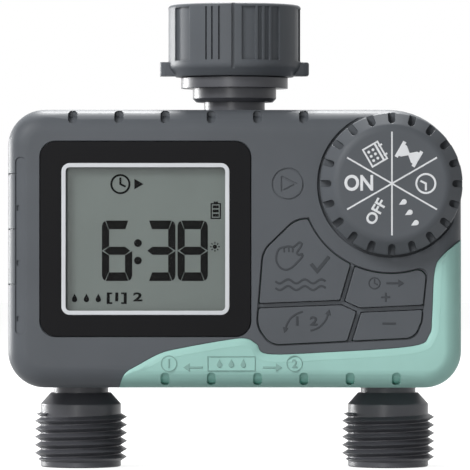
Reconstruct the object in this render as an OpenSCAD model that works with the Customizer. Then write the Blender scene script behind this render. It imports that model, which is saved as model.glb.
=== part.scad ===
// Two-zone drip irrigation timer for a garden tap.
// The frame: +Z is up along the inlet, -Y is the front, +X is to the right seen from the front.
// The origin is the centre of the swivel nut's mouth, and everything else lies below it.

/* [Housing] */
// Width of the housing across the two outlets
body_w = 129.8; // [127:0.2:136]
// Height of the housing
body_h = 79.6; // [79:0.2:84]
// Depth of the front shell, from the parting plane to the face
front_depth = 28; // [27:0.5:31]
// Depth of the rear shell, from the parting plane to the back
rear_depth = 28; // [27.5:0.5:32]
// Wall thickness of both shells
case_wall = 3.2; // [2.8:0.1:3.6]
// Corner radius of the housing
corner_r = 10.5; // [8:0.5:12]
// Corner radius beside the dial
dial_corner_r = 20.8; // [18:0.2:22]
// Rounding of the front edge
edge_r = 6.5; // [5.5:0.5:8]
// Rounding of the rear edge
rear_edge_r = 5; // [4:0.5:7]

/* [Grip notches] */
// Width of a notch in the top edge
notch_w = 2.6; // [1.6:0.2:4]
// Distance between notches
notch_pitch = 13.2; // [10:0.1:15]
// Height of a notch, seen from the front
notch_h = 3.6; // [2:0.2:5]
// Number of notches along the top
notch_count = 8; // [2:2:8]
// Depth of the finger recesses in the left edge
grip_depth = 0.8; // [0.4:0.1:1.2]
// Distance between finger recesses
grip_pitch = 15.7; // [12:0.1:17]

/* [Corner trim] */
// Thickness of the soft corner trim
trim_t = 1.5; // [1.2:0.1:1.9]
// How far the trim stands proud of the face
trim_proud = 0.9; // [0.4:0.1:1.4]
// Width of the trim's bevelled edge
trim_bevel = 2.2; // [1:0.2:3]
// Gap between the trim and its seat
trim_clear = 0.1; // [0.05:0.05:0.2]
// Distance from the parting plane to the trim's rear edge
trim_back = 5; // [4:0.5:10]

/* [Display] */
// Width of the black display border
bezel_w = 60.1; // [58:0.1:61]
// Height of the black display border
bezel_h = 55.7; // [52:0.1:57]
// Corner radius of the display border
bezel_r = 4.6; // [2:0.2:8]
// Distance from the housing's left side to the display's centre
display_inset = 39.5; // [39:0.1:40.5]
// Distance of the display's centre below the housing's top
display_drop = 37.0; // [36:0.1:38.5]
// Width of the window in the border
window_w = 45.5; // [40:0.5:47]
// Height of the window in the border
window_h = 40.9; // [36:0.5:42]
// Thickness of the border plate
bezel_t = 1.0; // [0.8:0.1:1.2]
// Thickness of the clear lens
lens_t = 1.0; // [0.8:0.1:1.2]
// Thickness of the liquid crystal panel
lcd_t = 1.6; // [1.2:0.1:1.8]

/* [Keypad] */
// Gap between neighbouring buttons
key_gap = 1.5; // [1.4:0.1:2]
// Clearance between a button and its opening
key_clear = 0.2; // [0.15:0.05:0.3]
// How far the buttons stand proud of the face
key_proud = 0.3; // [0:0.1:0.6]
// How far a button travels when it is pressed
key_travel = 1.0; // [0.5:0.1:1]
// Depth of the keypad's sunk field
keypad_sink = 0.9; // [0.4:0.1:1.2]
// Width of the flange that holds a button in
key_flange = 0.45; // [0.4:0.05:0.5]

/* [Dial] */
// Radius of the selector dial
dial_r = 20.25; // [18:0.25:20.5]
// Distance from the housing's right side to the dial's axis
dial_inset = 20.3; // [20:0.1:22]
// Distance from the housing's top to the dial's axis
dial_drop = 21.3; // [21:0.1:23]
// How far the dial's face stands in front of the housing's face
dial_proud = 9; // [7:0.5:12]
// Radius of the dial's flat face
dial_face_r = 16.1; // [13:0.1:17]
// Number of finger notches in the dial
dial_notches = 20; // [12:1:24]
// Width of a finger notch
dial_notch_w = 2; // [1:0.2:2.4]
// Radius of the dial's hub
hub_r = 5; // [4:0.1:6]
// Running clearance of the hub in its bearing
hub_clear = 0.06; // [0.02:0.01:0.1]

/* [Inlet] */
// Outer radius of the swivel nut over its ribs
nut_r = 19.35; // [18.6:0.05:20.5]
// Height of the swivel nut
nut_h = 20.85; // [20:0.05:24]
// Inner wall radius of the nut's thread
thread_bore_r = 13.6; // [13.5:0.05:13.8]
// Length of the nut's thread
thread_depth = 11.3; // [10:0.1:11.5]
// Depth of the nut's ribs
rib_depth = 0.7; // [0.3:0.1:1]
// Reach of the nut's two wings past its ribs
wing_reach = 2.4; // [1:0.2:4]
// Thickness of the rubber inlet washer
washer_t = 2.4; // [2:0.1:3]
// Outer radius of the spigot tube
spigot_r = 10.9; // [10.4:0.1:11.2]
// Play between the nut and the parts that it turns on
nut_play = 0.3; // [0.2:0.05:0.5]
// Height of the wide collar under the nut
collar_h = 3; // [2:0.25:5]
// Radius of the wide collar
collar_r = 15.55; // [14:0.05:17]
// Height of the ring under the collar
ring_h = 4; // [3.5:0.25:6]
// Radius of the ring under the collar
ring_r = 12.15; // [12:0.05:13.5]
// Length of neck seen above the housing
neck_show = 2.83; // [1:0.01:6]
// Radius of the inlet neck
neck_r = 8.85; // [8:0.05:10]

/* [Outlets] */
// Distance from the housing's side to an outlet's axis
outlet_inset = 20.1; // [20:0.1:21]
// Radius over the outlet thread's crests
thread_r = 13.45; // [13.3:0.05:13.5]
// Length of the outlet thread
thread_len = 15.7; // [12:0.1:18]
// Radius of the plain barrel above the thread
barrel_r = 11.7; // [11:0.1:13]
// Length of the plain barrel above the thread
barrel_len = 2.6; // [1:0.2:5]
// Radius of the outlet's neck
outlet_neck_r = 8; // [7.8:0.1:8.4]
// Length of outlet neck and cone below the housing
outlet_cone = 5.4; // [4:0.2:8]
// Bore radius at the outlet's mouth
outlet_bore_r = 9; // [8:0.1:10]

/* [Valves] */
// Radius of a valve chamber
chamber_r = 14; // [13.5:0.1:14.5]
// Travel of a valve plunger
plunger_travel = 2; // [1:0.1:2.5]
// Radius of a valve plunger
plunger_r = 2.45; // [2:0.05:2.6]
// Running clearance of the plunger in its tube
plunger_clear = 0.08; // [0.04:0.01:0.1]
// Radius of a solenoid coil
coil_r = 8; // [7:0.1:9]

/* [Batteries] */
// Radius of a cell
cell_r = 7.15; // [6.8:0.05:7.2]
// Length of a cell
cell_len = 50.5; // [49:0.1:50.5]
// Distance between the two cells
cell_pitch = 15.2; // [14.8:0.1:15.6]
// Width of the battery door
door_w = 66; // [62:0.5:68]
// Height of the battery door above its hinge
door_h = 42.7; // [41:0.1:44]
// Thickness of the battery door
door_t = 2.2; // [2:0.1:2.4]

/* [Fasteners] */
// Radius of a housing screw's head
screw_head_r = 2.9; // [2.4:0.1:3.1]
// Radius of a housing screw's shank
screw_r = 1.2; // [1:0.1:1.4]

/* [Hidden] */

$fn = 64;
hull_fn = 32;
soft_fn = 24;
key_fn = 16;
edge_step = 18;
slate = [0.35, 0.37, 0.39];
dark = [0.23, 0.24, 0.26];
teal = [0.62, 0.80, 0.76];
eps = 0.01;
over = 1;

// Clearances, and how far a boss is rooted in its wall
pocket_gap = 0.2;
lens_gap = 0.15;
tube_gap = 0.2;
gasket_gap = 0.05;
gasket_relief = 0.4;
border_gap = 0.05;
lcd_gap = 0.05;
shank_gap = 0.3;
thread_gap = 0.05;
root = 0.5;
boss_r = 3.4;

// Gasket between the shells: inset of its outer and inner edge, and its depth
gasket_outer = 0.95;
gasket_inner = 2.05;
gasket_depth = 1.25;

// Grip notches and finger recesses
notch_top = 0.35;
notch_land = 1.6;
grip_first = 15.9;
grip_end_h = 5.2;
grip_mid_h = 6.2;
grip_shift = 0.6;
grip_w = 5.6;
grip_land = 0.8;

// Heights, counted down from the nut's mouth
collar_top = -(nut_h + nut_play);
ring_top = collar_top - collar_h;
neck_top = ring_top - ring_h;
body_top = neck_top - neck_show;
body_mid = body_top - body_h / 2;
body_bottom = body_top - body_h;

// Planes across the depth, from front to back
face_y = -front_depth;
inner_y = face_y + case_wall;
back_y = rear_depth;
rear_inner_y = back_y - case_wall;
lens_y = face_y + 2 * border_gap + bezel_t;
lcd_y = lens_y + lens_t + 0.2;
board_t = 1.6;
board_y = inner_y + 4.6;
board_back = board_y + board_t;
holder_gap = 0.2;

// Display
display_x = -body_w / 2 + display_inset;
display_z = body_top - display_drop;
lens_corner = 2;
holder_wall = 1.5;
holder_rim = 2;
connector_w = 2.2;
connector_slot = 0.4;
connector_up = 0.4;
lens_margin = 4.6;
lens_ledge = 0.15;
lcd_margin = 2.3;
lcd_opening_clear = 0.3;

// Dial
dial_x = body_w / 2 - dial_inset;
dial_z = body_top - dial_drop;
dial_gap = 0.75;
dial_recess_r = dial_r + dial_gap;
dial_floor = face_y + 1.6;
dial_back = dial_floor - 0.7;
turret_r = dial_r - 2.8;
turret_wall = 3;
turret_end = inner_y + 3.4;
dial_face_y = face_y - dial_proud;
bearing_end = inner_y + 1.8;
clip_y = bearing_end + 0.3;
clip_t = 0.8;
wiper_y = clip_y + clip_t + 0.1;
wiper_t = 0.8;
hub_tip_r = 3.5;
hub_wall = 4;
dial_skin = 2.5;
dial_skirt = 5.8;
dial_skirt_clear = 0.4;
dial_notch_depth = 6.5;
dial_fillet = 3.2;
dial_fillet_steps = 4;
clip_rim = 1.8;
clip_slot = 3;
pointer_x = dial_x - 29.3;
pointer_r = 4.6;
pointer_w = 0.4;
pointer_depth = 0.3;
// The wiper's arms stop short of the housing screw's boss beside the dial
dial_boss = [12.4, 5.8];
wiper_reach = norm(dial_boss) - boss_r - 0.7;
wiper_disc_r = 6;
wiper_arm_w = 4;
contact_w = 2.4;
contact_len = 3.6;
contact_tip = 0.3;
contact_strip_t = 0.35;

// Keypad: the field's corners left, below and right, and the ends of the gaps between the buttons
keypad_arc_r = 25.7;
keypad_left = display_x + bezel_w / 2 + 1.95;
keypad_right = body_w / 2 - 10;
keypad_border = 0.5;
keypad_corner = 2.0;
key_corner = 0.7;
field = [[keypad_left + 11, dial_z - 10.22], [keypad_left + 17.4, dial_z - 10.02],
    [keypad_right, dial_z - 21.72], [keypad_right - 0.5, body_bottom + 30.58],
    [keypad_right - 1.7, body_bottom + 19.08], [keypad_right - 3.6, body_bottom + 14.48],
    [keypad_left + 3.8, body_bottom + 12.48], [keypad_left, body_bottom + 17.58],
    [keypad_left + 1.7, dial_z - 19.22]];
gap_left = [keypad_left - 6.6, body_bottom + 23.28];
gap_mid_left = [dial_x - 14, body_bottom + 24.48];
gap_mid_right = [dial_x - 9, body_bottom + 22.28];
gap_right = [keypad_right + 5.1, body_bottom + 23.38];
gap_up = [dial_x - 6.4, dial_z - 7.72];
gap_down = [dial_x - 13, body_bottom + 9.58];
key_stem_r = 2.4;
key_flange_t = 1.0;
flange_front = inner_y + 0.25;
flange_back = flange_front + key_flange_t;
membrane_t = 0.8;
dome_top = flange_back + key_travel + 0.3;
key_centres = [[keypad_left + 10.4, body_bottom + 32.08], [dial_x - 2.1, body_bottom + 28.08],
    [keypad_left + 13.4, body_bottom + 18.58], [dial_x - 1.1, body_bottom + 18.58]];
stem_rim = 0.6;

// Corner trim's inner edge, from its lower left end to its upper right end
trim_edge = [[display_x - 8.2, body_bottom - 3.4], [display_x - 7.2, body_bottom + 1.2],
    [display_x - 5.6, body_bottom + 4.4], [display_x - 2.1, body_bottom + 6.58],
    [display_x + 4.4, body_bottom + 9.98],
    [display_x + 10.9, body_bottom + 11.58], [display_x + 23.4, body_bottom + 13.78],
    [keypad_left - 3.4, body_bottom + 14.18], [keypad_left - 0.3, body_bottom + 12.58],
    [keypad_left + 2.8, body_bottom + 9.78], [dial_x - 19.6, body_bottom + 10.18],
    [body_w / 2 - 14.3, body_bottom + 11.98], [body_w / 2 - 9.3, body_bottom + 15.18],
    [body_w / 2 - 8.5, body_bottom + 20.58], [body_w / 2 - 7.8, body_bottom + 33.08],
    [body_w / 2 - 5.6, body_bottom + 37.78], [body_w / 2 + 1.1, body_bottom + 43.18]];
trim_out = 7.1;
trim_steps = 3;
trim_edge_proud = 0.25;
trim_slope_proud = 0.6;
trim_tube_gap = 0.4;
trim_notches = 6;
trim_notch_first = -1.5;
trim_notch_w = 2.5;
trim_notch_h = 3.5;
trim_notch_up = 0.9;
trim_notch_depth = 0.9;

// Inlet
spigot_bore_r = spigot_r - 2.7;
filter_rim = 0.3;
flange_top = -(thread_depth + washer_t + filter_rim);
flange_t = 2.1;
nut_relief = 0.3;
nut_seat = flange_top - flange_t - nut_play;
flange_r = thread_bore_r - 0.45;
socket_clear = 0.05;
spigot_foot = neck_top + 0.5;
neck_bore_r = 6;
nut_land = 2.8;
nut_bevel = 2.2;
nut_round = 0.8;
rib_len = nut_h - 4.51;
rib_start = 1.2;
// Recesses round half of the nut, as first and last angle to the right of the front
rib_recesses = [[-62.7, -42.5], [-25.9, -24.1], [-20.4, -18.6], [-14.2, -12.4], [6.3, 18.4], [20.6, 24.6],
    [26.8, 31.3], [33.6, 42.5], [65, 97]];
rib_slot = [-2.4, 0.2];
rib_slot_end = 1.4;
wing_top = nut_h - 4.3;
wing_h = 4;
wing_w = 7;
wing_root = 1.5;
washer_gap = 0.3;
filter_lip = 1.2;
filter_depth = 10;
filter_wall = 0.8;
filter_gap = 0.2;
filter_taper = 1.4;
filter_band = 1.4;
washer_side_gap = 0.1;
washer_bore_gap = 0.6;
filter_slots = 8;
filter_slot_angle = 25;

// Water ways
outlet_x = body_w / 2 - outlet_inset;
bar_r = 6.5;
bar_bore_r = 4.6;
bar_z = body_top - 16;
elbow_r = 7;
elbow_bore_r = 4.8;
chamber_z = body_top - 38;
chamber_front = -10;
chamber_rim = 7.2;
chamber_floor_t = 2.5;
seat_r = 5.8;
seat_bore_r = 3.8;
annulus_r = chamber_r - 2;
leg_r = 9.2;
leg_bore_r = 4.6;
outlet_tube_r = 7;
outlet_socket_depth = 10;
outlet_flange_r = 9.2;
outlet_shelf = 0.1;
outlet_tip = 0.5;
outlet_seal_drop = 3;
neck_len = 2.2;
neck_step = 0.8;
thread_chamfer = 1.2;
leg_wall = 2.2;
annulus_cut = 1.4;
seat_drop = 0.3;
lug_front = -4;
leg_end = body_bottom + 10.6;
flange_h = 2.5;
lug_r = 2.6;
lug_ring = chamber_r + 2;
bonnet_front = chamber_rim + 0.8;
bonnet_t = 4.4;
bonnet_back = bonnet_front + bonnet_t;
tube_wall = 0.5;
tube_end = rear_inner_y - 0.6;
tube_inner_end = tube_end - 0.6;
tube_r = plunger_r + plunger_clear + tube_wall;
plunger_front = bonnet_front + 1.4;
plunger_len = 9;
coil_front = bonnet_back + 0.1;
coil_back = rear_inner_y - 0.8;
yoke_t = 0.7;
yoke_w = 10;
coil_step = 0.8;
coil_flange_t = 1;
coil_gap = 0.05;
yoke_gap = 0.1;
bonnet_screw_r = 0.95;
bonnet_screw_head_r = 1.9;
bonnet_screw_head_t = 1.5;
bonnet_lug_t = 3;
bonnet_hole_r = 1.15;
diaphragm_pad = 1.2;
diaphragm_seat = 0.25;
spring_r = 1.75;
spring_wire = 0.22;
spring_turns = 4;
spring_gap = 0.05;
plunger_recess_r = 1.1;
plunger_recess = 0.8;

// Outlet, from the housing down
barrel_top = body_bottom - outlet_cone;
thread_top = barrel_top - barrel_len;
outlet_end = thread_top - thread_len;
thread_root_r = thread_r - 1.7;
outlet_top = leg_end + outlet_socket_depth - outlet_tip;
flange_z = body_bottom + case_wall + outlet_shelf;

// Battery box
box_mid_z = body_mid - 7.2;
box_wall = 1.7;
box_in_w = cell_len + 5.5;
box_in_h = cell_pitch + 2 * cell_r + 3.3;
box_front = 5.5;
box_back = rear_inner_y - 0.1;
box_floor = 1.2;
cell_gap = 0.15;
cell_y = box_front + box_floor + cell_r + cell_gap;
contact_t = 0.4;
rim_w = 4;
finger_w = 14;
finger_margin = 6;
cell_cap = 1.4;
cell_button = 1.5;
cell_button_r = 2.6;
cell_spring_r = 4.6;
cell_spring_tip_r = 2.6;
cell_spring_wire = 0.3;
cell_spring_turns = 2.5;
contact_h = 12;
contact_d = 11;

// Battery door, hinged along its lower edge
door_back = back_y - 0.05;
door_mid_y = door_back - door_t / 2;
hinge_z = box_mid_z - box_in_h / 2 - box_wall - 4.3;
hinge_half = 20;
hinge_gap = 0.4;
door_foot = 1.9;
door_clear = 0.5;
recess_floor = door_back - door_t - 0.15;
door_top = hinge_z + door_h;
pin_r = 0.6;
pin_clear = 0.05;
door_corner = 2.5;
pin_seat = 4;
pin_short = 0.2;
pin_hold = 0.02;
scoop_r = 5;
scoop_depth = 1.2;
scoop_up = 3;
grip_lines = 5;
grip_line_first = 6;
grip_line_pitch = 2;
grip_line_w = 18;
grip_line_h = 0.8;
grip_line_depth = 0.4;
door_rib_x = 15;
door_rib_w = 1.6;
door_rib_gap = 0.6;
door_seal_in = 1;
door_seal_w = 1.4;
door_groove_gap = 0.1;
door_groove = 0.75;

// Sealing rings
seal_section = 0.5;
seal_groove = 0.05;
seal_squeeze = 0.03;

// Screws
case_bosses = [[-body_w / 2 + 6.9, body_top - 6.8], [-22, body_top - 5.3], [22, body_top - 5.3],
    [dial_x + dial_boss[0], dial_z + dial_boss[1]], [-body_w / 2 + 6.7, body_bottom + 7.1],
    [body_w / 2 - 6.7, body_bottom + 7.1],
    [-24, body_bottom + 5.1], [24, body_bottom + 5.1]];
counterbore_r = screw_head_r + 0.3;
counterbore_y = 6;
screw_head_t = 2;
screw_tip = -12;
board_posts = [[-body_w / 2 + 8.9, body_top - 13.5], [-body_w / 2 + 8.9, body_top - 66],
    [display_x + 34.4, body_top - 16], [dial_x + 12.6, dial_z - 17.7], [display_x + 26.4, body_top - 67.5]];
post_r = 2.6;
board_screw_r = 0.9;
board_x0 = -body_w / 2 + 4.9;
board_x1 = body_w / 2 - 4.7;
board_cut = 4;
board_corner = 7;
board_step = 4;
board_rise = 2.2;
board_shoulder = 3;
board_hole_gap = 0.3;
board_boss_gap = 0.8;
case_screw_recess_r = 1.1;
board_screw_head_r = 1.9;
board_screw_head_t = 1.3;
board_screw_recess_r = 0.7;
screw_well_wall = 1.4;
recess_depth = 0.7;
board_z0 = body_top - 69.5;
board_z1 = body_top - 10.5;

// ---- helpers ----

// Extrudes a shape drawn in X and Z from depth y0 back to depth y1
module slab(y0, y1) translate([0, y1, 0]) rotate([90, 0, 0]) linear_extrude(y1 - y0) children();

// A round bar along Y
module y_rod(r, y0, y1, x = 0, z = 0) translate([x, y0, z]) rotate([-90, 0, 0]) cylinder(r = r, h = y1 - y0);

// A round bar along Z, from z0 up to z1
module z_rod(r, z0, z1, x = 0, y = 0) translate([x, y, z0]) cylinder(r = r, h = z1 - z0);

// A round bar along X
module x_rod(r, x0, x1, y = 0, z = 0) translate([x0, y, z]) rotate([0, 90, 0]) cylinder(r = r, h = x1 - x0);

// A sealing ring sunk into a tube of radius r about Z, or the groove that it sits in
module seal_ring(r, grow = 0) rotate_extrude() translate([r - seal_section + seal_squeeze, 0])
    circle(seal_section + grow);

module rounded_rect(w, h, r) offset(r = r, $fn = hull_fn) square([w - 2 * r, h - 2 * r], center = true);

// Rounds every corner of a shape
module soften(r) offset(r = r, $fn = soft_fn) offset(delta = -2 * r) offset(r = r, $fn = soft_fn) children();

// The housing's outline, as points, moved in by inset
function corner_arc(x, z, r, a0) = [for (a = [a0:360 / hull_fn:a0 + 90]) [x + r * cos(a), z + r * sin(a)]];
function case_points(inset) = concat(
    corner_arc(body_w / 2 - dial_corner_r, body_top - dial_corner_r, dial_corner_r - inset, 0),
    corner_arc(-body_w / 2 + corner_r, body_top - corner_r, corner_r - inset, 90),
    corner_arc(-body_w / 2 + corner_r, body_bottom + corner_r, corner_r - inset, 180),
    corner_arc(body_w / 2 - corner_r, body_bottom + corner_r, corner_r - inset, 270));

// One shell's solid form: the outline with a rounded outer edge, moved in by inset
function edge_profile(r, depth, e, start) = concat([[0, start], [r, start]],
    [for (a = [0:edge_step:90]) [r - e + e * cos(a), depth - e + e * sin(a)]], [[0, depth]]);
module case_corner(x, z, r, inset, depth, edge, start)
    translate([x, 0, z]) rotate([90, 0, 0]) rotate_extrude($fn = hull_fn)
        polygon(edge_profile(r - inset, depth - inset, max(edge - inset, 1), start));
module case_form(inset, depth, edge, start = 0) let (side = body_w / 2 - corner_r, low = body_bottom + corner_r)
    hull() {
        case_corner(body_w / 2 - dial_corner_r, body_top - dial_corner_r, dial_corner_r,
            inset, depth, edge, start);
        case_corner(-side, body_top - corner_r, corner_r, inset, depth, edge, start);
        case_corner(-side, low, corner_r, inset, depth, edge, start);
        case_corner(side, low, corner_r, inset, depth, edge, start);
    }

module at_dial() translate([dial_x, 0, dial_z]) children();
module at_display() translate([display_x, 0, display_z]) children();
module both_sides() {
    translate([-outlet_x, 0, 0]) children();
    translate([outlet_x, 0, 0]) children();
}

// ---- housing ----

// A smooth line through points
function smooth_point(p, i, t) = let (last = len(p) - 1,
    a = p[max(i - 1, 0)], b = p[i], c = p[i + 1], d = p[min(i + 2, last)])
    (2 * b + (c - a) * t + (2 * a - 5 * b + 4 * c - d) * t ^ 2 + (3 * b - a - 3 * c + d) * t ^ 3) / 2;
function smooth_line(p, steps) = concat(
    [for (i = [0:len(p) - 2]) for (k = [0:steps - 1]) smooth_point(p, i, k / steps)], [p[len(p) - 1]]);

module trim_region(inset = 0) offset(delta = -inset)
    polygon(concat(smooth_line(trim_edge, trim_steps), [
        [body_w / 2 + trim_out, trim_edge[len(trim_edge) - 1][1]],
        [body_w / 2 + trim_out, body_bottom - trim_out], [trim_edge[0][0], body_bottom - trim_out]]));

module keypad_field(grow = 0) offset(delta = grow) soften(keypad_corner) difference() {
    polygon(field);
    translate([dial_x, dial_z]) circle(keypad_arc_r);
}

// The areas that the gap lines share out among the four buttons
key_areas = [
    [gap_left, gap_mid_left, gap_up, [gap_left[0], gap_up[1]]],
    [gap_mid_left, gap_mid_right, gap_right, [gap_right[0], gap_up[1]], gap_up],
    [gap_left, [gap_left[0], gap_down[1]], gap_down, gap_mid_right, gap_mid_left],
    [gap_mid_right, gap_down, [gap_right[0], gap_down[1]], gap_right]];
module key_outline(i, grow = 0) offset(delta = grow) offset(r = key_corner, $fn = key_fn)
    offset(delta = -key_corner) intersection() {
        keypad_field();
        offset(delta = -key_gap / 2) polygon(key_areas[i]);
    }

module top_notches() for (i = [0:notch_count - 1]) let (x = (i - (notch_count - 1) / 2) * notch_pitch)
    translate([x - notch_w / 2, face_y - over, body_top - notch_h - notch_top])
        cube([notch_w, edge_r + over - notch_land, notch_h]);

module grip_recesses() for (i = [0:3]) let (h = i == 0 || i == 3 ? grip_end_h : grip_mid_h,
    z = body_top - grip_first - i * grip_pitch - (i == 0 ? 0 : grip_shift))
    translate([-body_w / 2 - over, face_y - over, z - h / 2])
        cube([grip_w + over, edge_r + over - grip_land, h]);

module front_shell() color(slate) {
    difference() {
        union() {
            difference() {
                case_form(0, front_depth, edge_r);
                case_form(case_wall, front_depth, edge_r, -over);
            }
            at_dial() difference() {
                y_rod(turret_r, dial_floor, turret_end);
                y_rod(turret_r - turret_wall, dial_floor - over, turret_end + over);
            }
            at_dial() y_rod(hub_r + hub_wall, face_y + 1, bearing_end);
            for (p = case_bosses) y_rod(boss_r, face_y + 3, 0, p[0], p[1]);
            for (p = board_posts) y_rod(post_r, inner_y - root, board_y, p[0], p[1]);
        }
        // seats cut to follow the rounded edge
        difference() {
            union() {
                slab(face_y - over, -trim_back) trim_region(-trim_clear);
                top_notches();
            }
            case_form(trim_t + trim_clear, front_depth, edge_r, -over);
        }
        difference() {
            grip_recesses();
            case_form(grip_depth, front_depth, edge_r, -over);
        }
        // dial recess and bearing
        at_dial() y_rod(dial_recess_r, face_y - over, dial_floor);
        at_dial() y_rod(hub_r + hub_clear, face_y - over, 0);
        // display pocket
        at_display() slab(face_y - over, lens_y)
            rounded_rect(bezel_w + 2 * pocket_gap, bezel_h + 2 * pocket_gap, bezel_r);
        at_display() slab(face_y - over, lens_y + lens_t)
            rounded_rect(window_w + 2 * (lens_margin + lens_gap), window_h + 2 * (lens_margin + lens_gap),
                lens_corner);
        at_display() slab(face_y - over, -1)
            rounded_rect(window_w + 2 * (lcd_margin + lcd_opening_clear),
                window_h + 2 * (lcd_margin + lcd_opening_clear), 1);
        // keypad
        slab(face_y - over, face_y + keypad_sink) keypad_field(keypad_border);
        for (i = [0:3]) slab(face_y - over, inner_y + over) key_outline(i, key_clear);
        // pointer mark
        translate([pointer_x, 0, dial_z]) difference() {
            y_rod(pointer_r, face_y - over, face_y + pointer_depth);
            y_rod(pointer_r - pointer_w, face_y - 2 * over, face_y + 2 * over);
        }
        // inlet neck, outlets and screws
        z_rod(neck_r + tube_gap, body_top - case_wall - over, body_top + over);
        both_sides() z_rod(outlet_neck_r + tube_gap, body_bottom - over, body_bottom + case_wall + over);
        for (p = case_bosses) y_rod(screw_r + thread_gap, screw_tip - 2, over, p[0], p[1]);
        for (p = board_posts) y_rod(board_screw_r + thread_gap, inner_y + root, board_y + over, p[0], p[1]);
        slab(-gasket_depth - gasket_gap, over) difference() {
            polygon(case_points(gasket_outer - gasket_gap));
            polygon(case_points(gasket_inner + gasket_gap));
        }
    }
}

module rear_shell() color(slate) difference() {
    union() {
        mirror([0, 1, 0]) difference() {
            case_form(0, rear_depth, rear_edge_r);
            case_form(case_wall, rear_depth, rear_edge_r, -over);
        }
        for (p = case_bosses) {
            y_rod(boss_r, 0, back_y - 3, p[0], p[1]);
            y_rod(counterbore_r + screw_well_wall, counterbore_y, back_y - 2, p[0], p[1]);
        }
        // rim that thickens the wall round the battery opening
        translate([0, 0, box_mid_z]) slab(rear_inner_y - eps, rear_inner_y + 1)
            square([box_in_w + 2 * rim_w, box_in_h + 2 * rim_w], center = true);
    }
    for (p = case_bosses) {
        y_rod(screw_r + shank_gap, -over, back_y, p[0], p[1]);
        y_rod(counterbore_r, counterbore_y, back_y + over, p[0], p[1]);
    }
    // battery opening, with the door's recess
    translate([0, 0, box_mid_z]) slab(rear_inner_y - over, back_y + over)
        square([box_in_w, box_in_h], center = true);
    slab(recess_floor, back_y + over) door_shape(door_clear);
    x_rod(pin_r + pin_hold, -hinge_half - pin_seat, hinge_half + pin_seat, door_mid_y, hinge_z);
    translate([0, back_y, door_top + scoop_up]) y_rod(scoop_r, -scoop_depth, over);
    z_rod(neck_r + tube_gap, body_top - case_wall - over, body_top + over);
    both_sides() z_rod(outlet_neck_r + tube_gap, body_bottom - over, body_bottom + case_wall + over);
}

module shell_gasket() color([0.15, 0.15, 0.16]) difference() {
    slab(-gasket_depth, -gasket_gap) difference() {
        polygon(case_points(gasket_outer));
        polygon(case_points(gasket_inner));
    }
    z_rod(neck_r + gasket_relief, body_top - case_wall - over, body_top + over);
    both_sides() z_rod(outlet_neck_r + gasket_relief, body_bottom - over, body_bottom + case_wall + over);
}

module corner_trim() color(teal) difference() {
    intersection() {
        union() {
            slab(face_y - trim_edge_proud, -trim_back - trim_clear) trim_region();
            slab(face_y - trim_slope_proud, face_y) trim_region(trim_bevel / 2);
            slab(face_y - trim_proud, face_y) trim_region(trim_bevel);
        }
        case_form(0, front_depth + trim_proud, edge_r);
    }
    case_form(trim_t, front_depth, edge_r, -over);
    both_sides() z_rod(outlet_neck_r + trim_tube_gap, body_bottom - over, body_bottom + case_wall);
    difference() {
        for (i = [0:trim_notches - 1]) let (x = (i + trim_notch_first) * notch_pitch)
            translate([x - trim_notch_w / 2, face_y - over - trim_proud, body_bottom + trim_notch_up])
                cube([trim_notch_w, edge_r + over, trim_notch_h]);
        case_form(trim_notch_depth, front_depth, edge_r, -over);
    }
}

// ---- display ----

module display_border() color([0.13, 0.13, 0.14]) at_display()
    slab(face_y + border_gap, face_y + border_gap + bezel_t) difference() {
        rounded_rect(bezel_w, bezel_h, bezel_r);
        rounded_rect(window_w, window_h, 1);
    }

module display_lens() color([0.85, 0.9, 0.9, 0.4]) at_display() slab(lens_y, lens_y + lens_t)
    rounded_rect(window_w + 2 * lens_margin, window_h + 2 * lens_margin, lens_corner);

module lcd_panel() color([0.47, 0.51, 0.5]) at_display() slab(lcd_y, lcd_y + lcd_t)
    square([window_w + 2 * lcd_margin, window_h + 2 * lcd_margin], center = true);

module lcd_holder() color([0.9, 0.9, 0.88]) at_display() difference() {
    slab(inner_y + holder_gap, board_y)
        square([window_w + 2 * (lcd_margin + holder_wall), window_h + 2 * (lcd_margin + holder_wall)],
            center = true);
    slab(inner_y - over, lcd_y + lcd_t)
        square([window_w + 2 * (lcd_margin + lcd_gap), window_h + 2 * (lcd_margin + lcd_gap)], center = true);
    slab(inner_y - over, board_y + over)
        square([window_w - 2 * holder_rim, window_h - 2 * holder_rim], center = true);
    for (s = [-1, 1]) translate([0, 0, s * (window_h / 2 + connector_up)])
        slab(inner_y - over, board_y + over)
            square([window_w + connector_slot, connector_w + connector_slot], center = true);
}

module lcd_connectors() color([0.75, 0.5, 0.55]) at_display()
    for (s = [-1, 1]) translate([0, 0, s * (window_h / 2 + connector_up)])
        slab(lcd_y + lcd_t, board_y) square([window_w, connector_w], center = true);

// ---- electronics ----

module circuit_board() color([0.1, 0.4, 0.25]) difference() {
    slab(board_y, board_back) polygon([[board_x0, board_z0 + board_cut], [board_x0 + board_cut, board_z0],
        [board_x1 - board_corner, board_z0], [board_x1, board_z0 + board_corner],
        [board_x1, dial_z - board_step], [dial_x + dial_boss[0] - boss_r, dial_z + dial_boss[1] + board_rise],
        [dial_x + board_shoulder, board_z1], [board_x0 + board_cut, board_z1],
        [board_x0, board_z1 - board_cut]]);
    for (p = board_posts)
        y_rod(board_screw_r + board_hole_gap, board_y - over, board_back + over, p[0], p[1]);
    for (p = case_bosses) y_rod(boss_r + board_boss_gap, board_y - over, board_back + over, p[0], p[1]);
}

module keypad_membrane() color([0.75, 0.75, 0.76]) {
    slab(board_y - membrane_t, board_y) offset(delta = -keypad_border) keypad_field();
    for (c = key_centres) y_rod(key_stem_r + stem_rim, dome_top, board_y - membrane_t + eps, c[0], c[1]);
}

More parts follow.
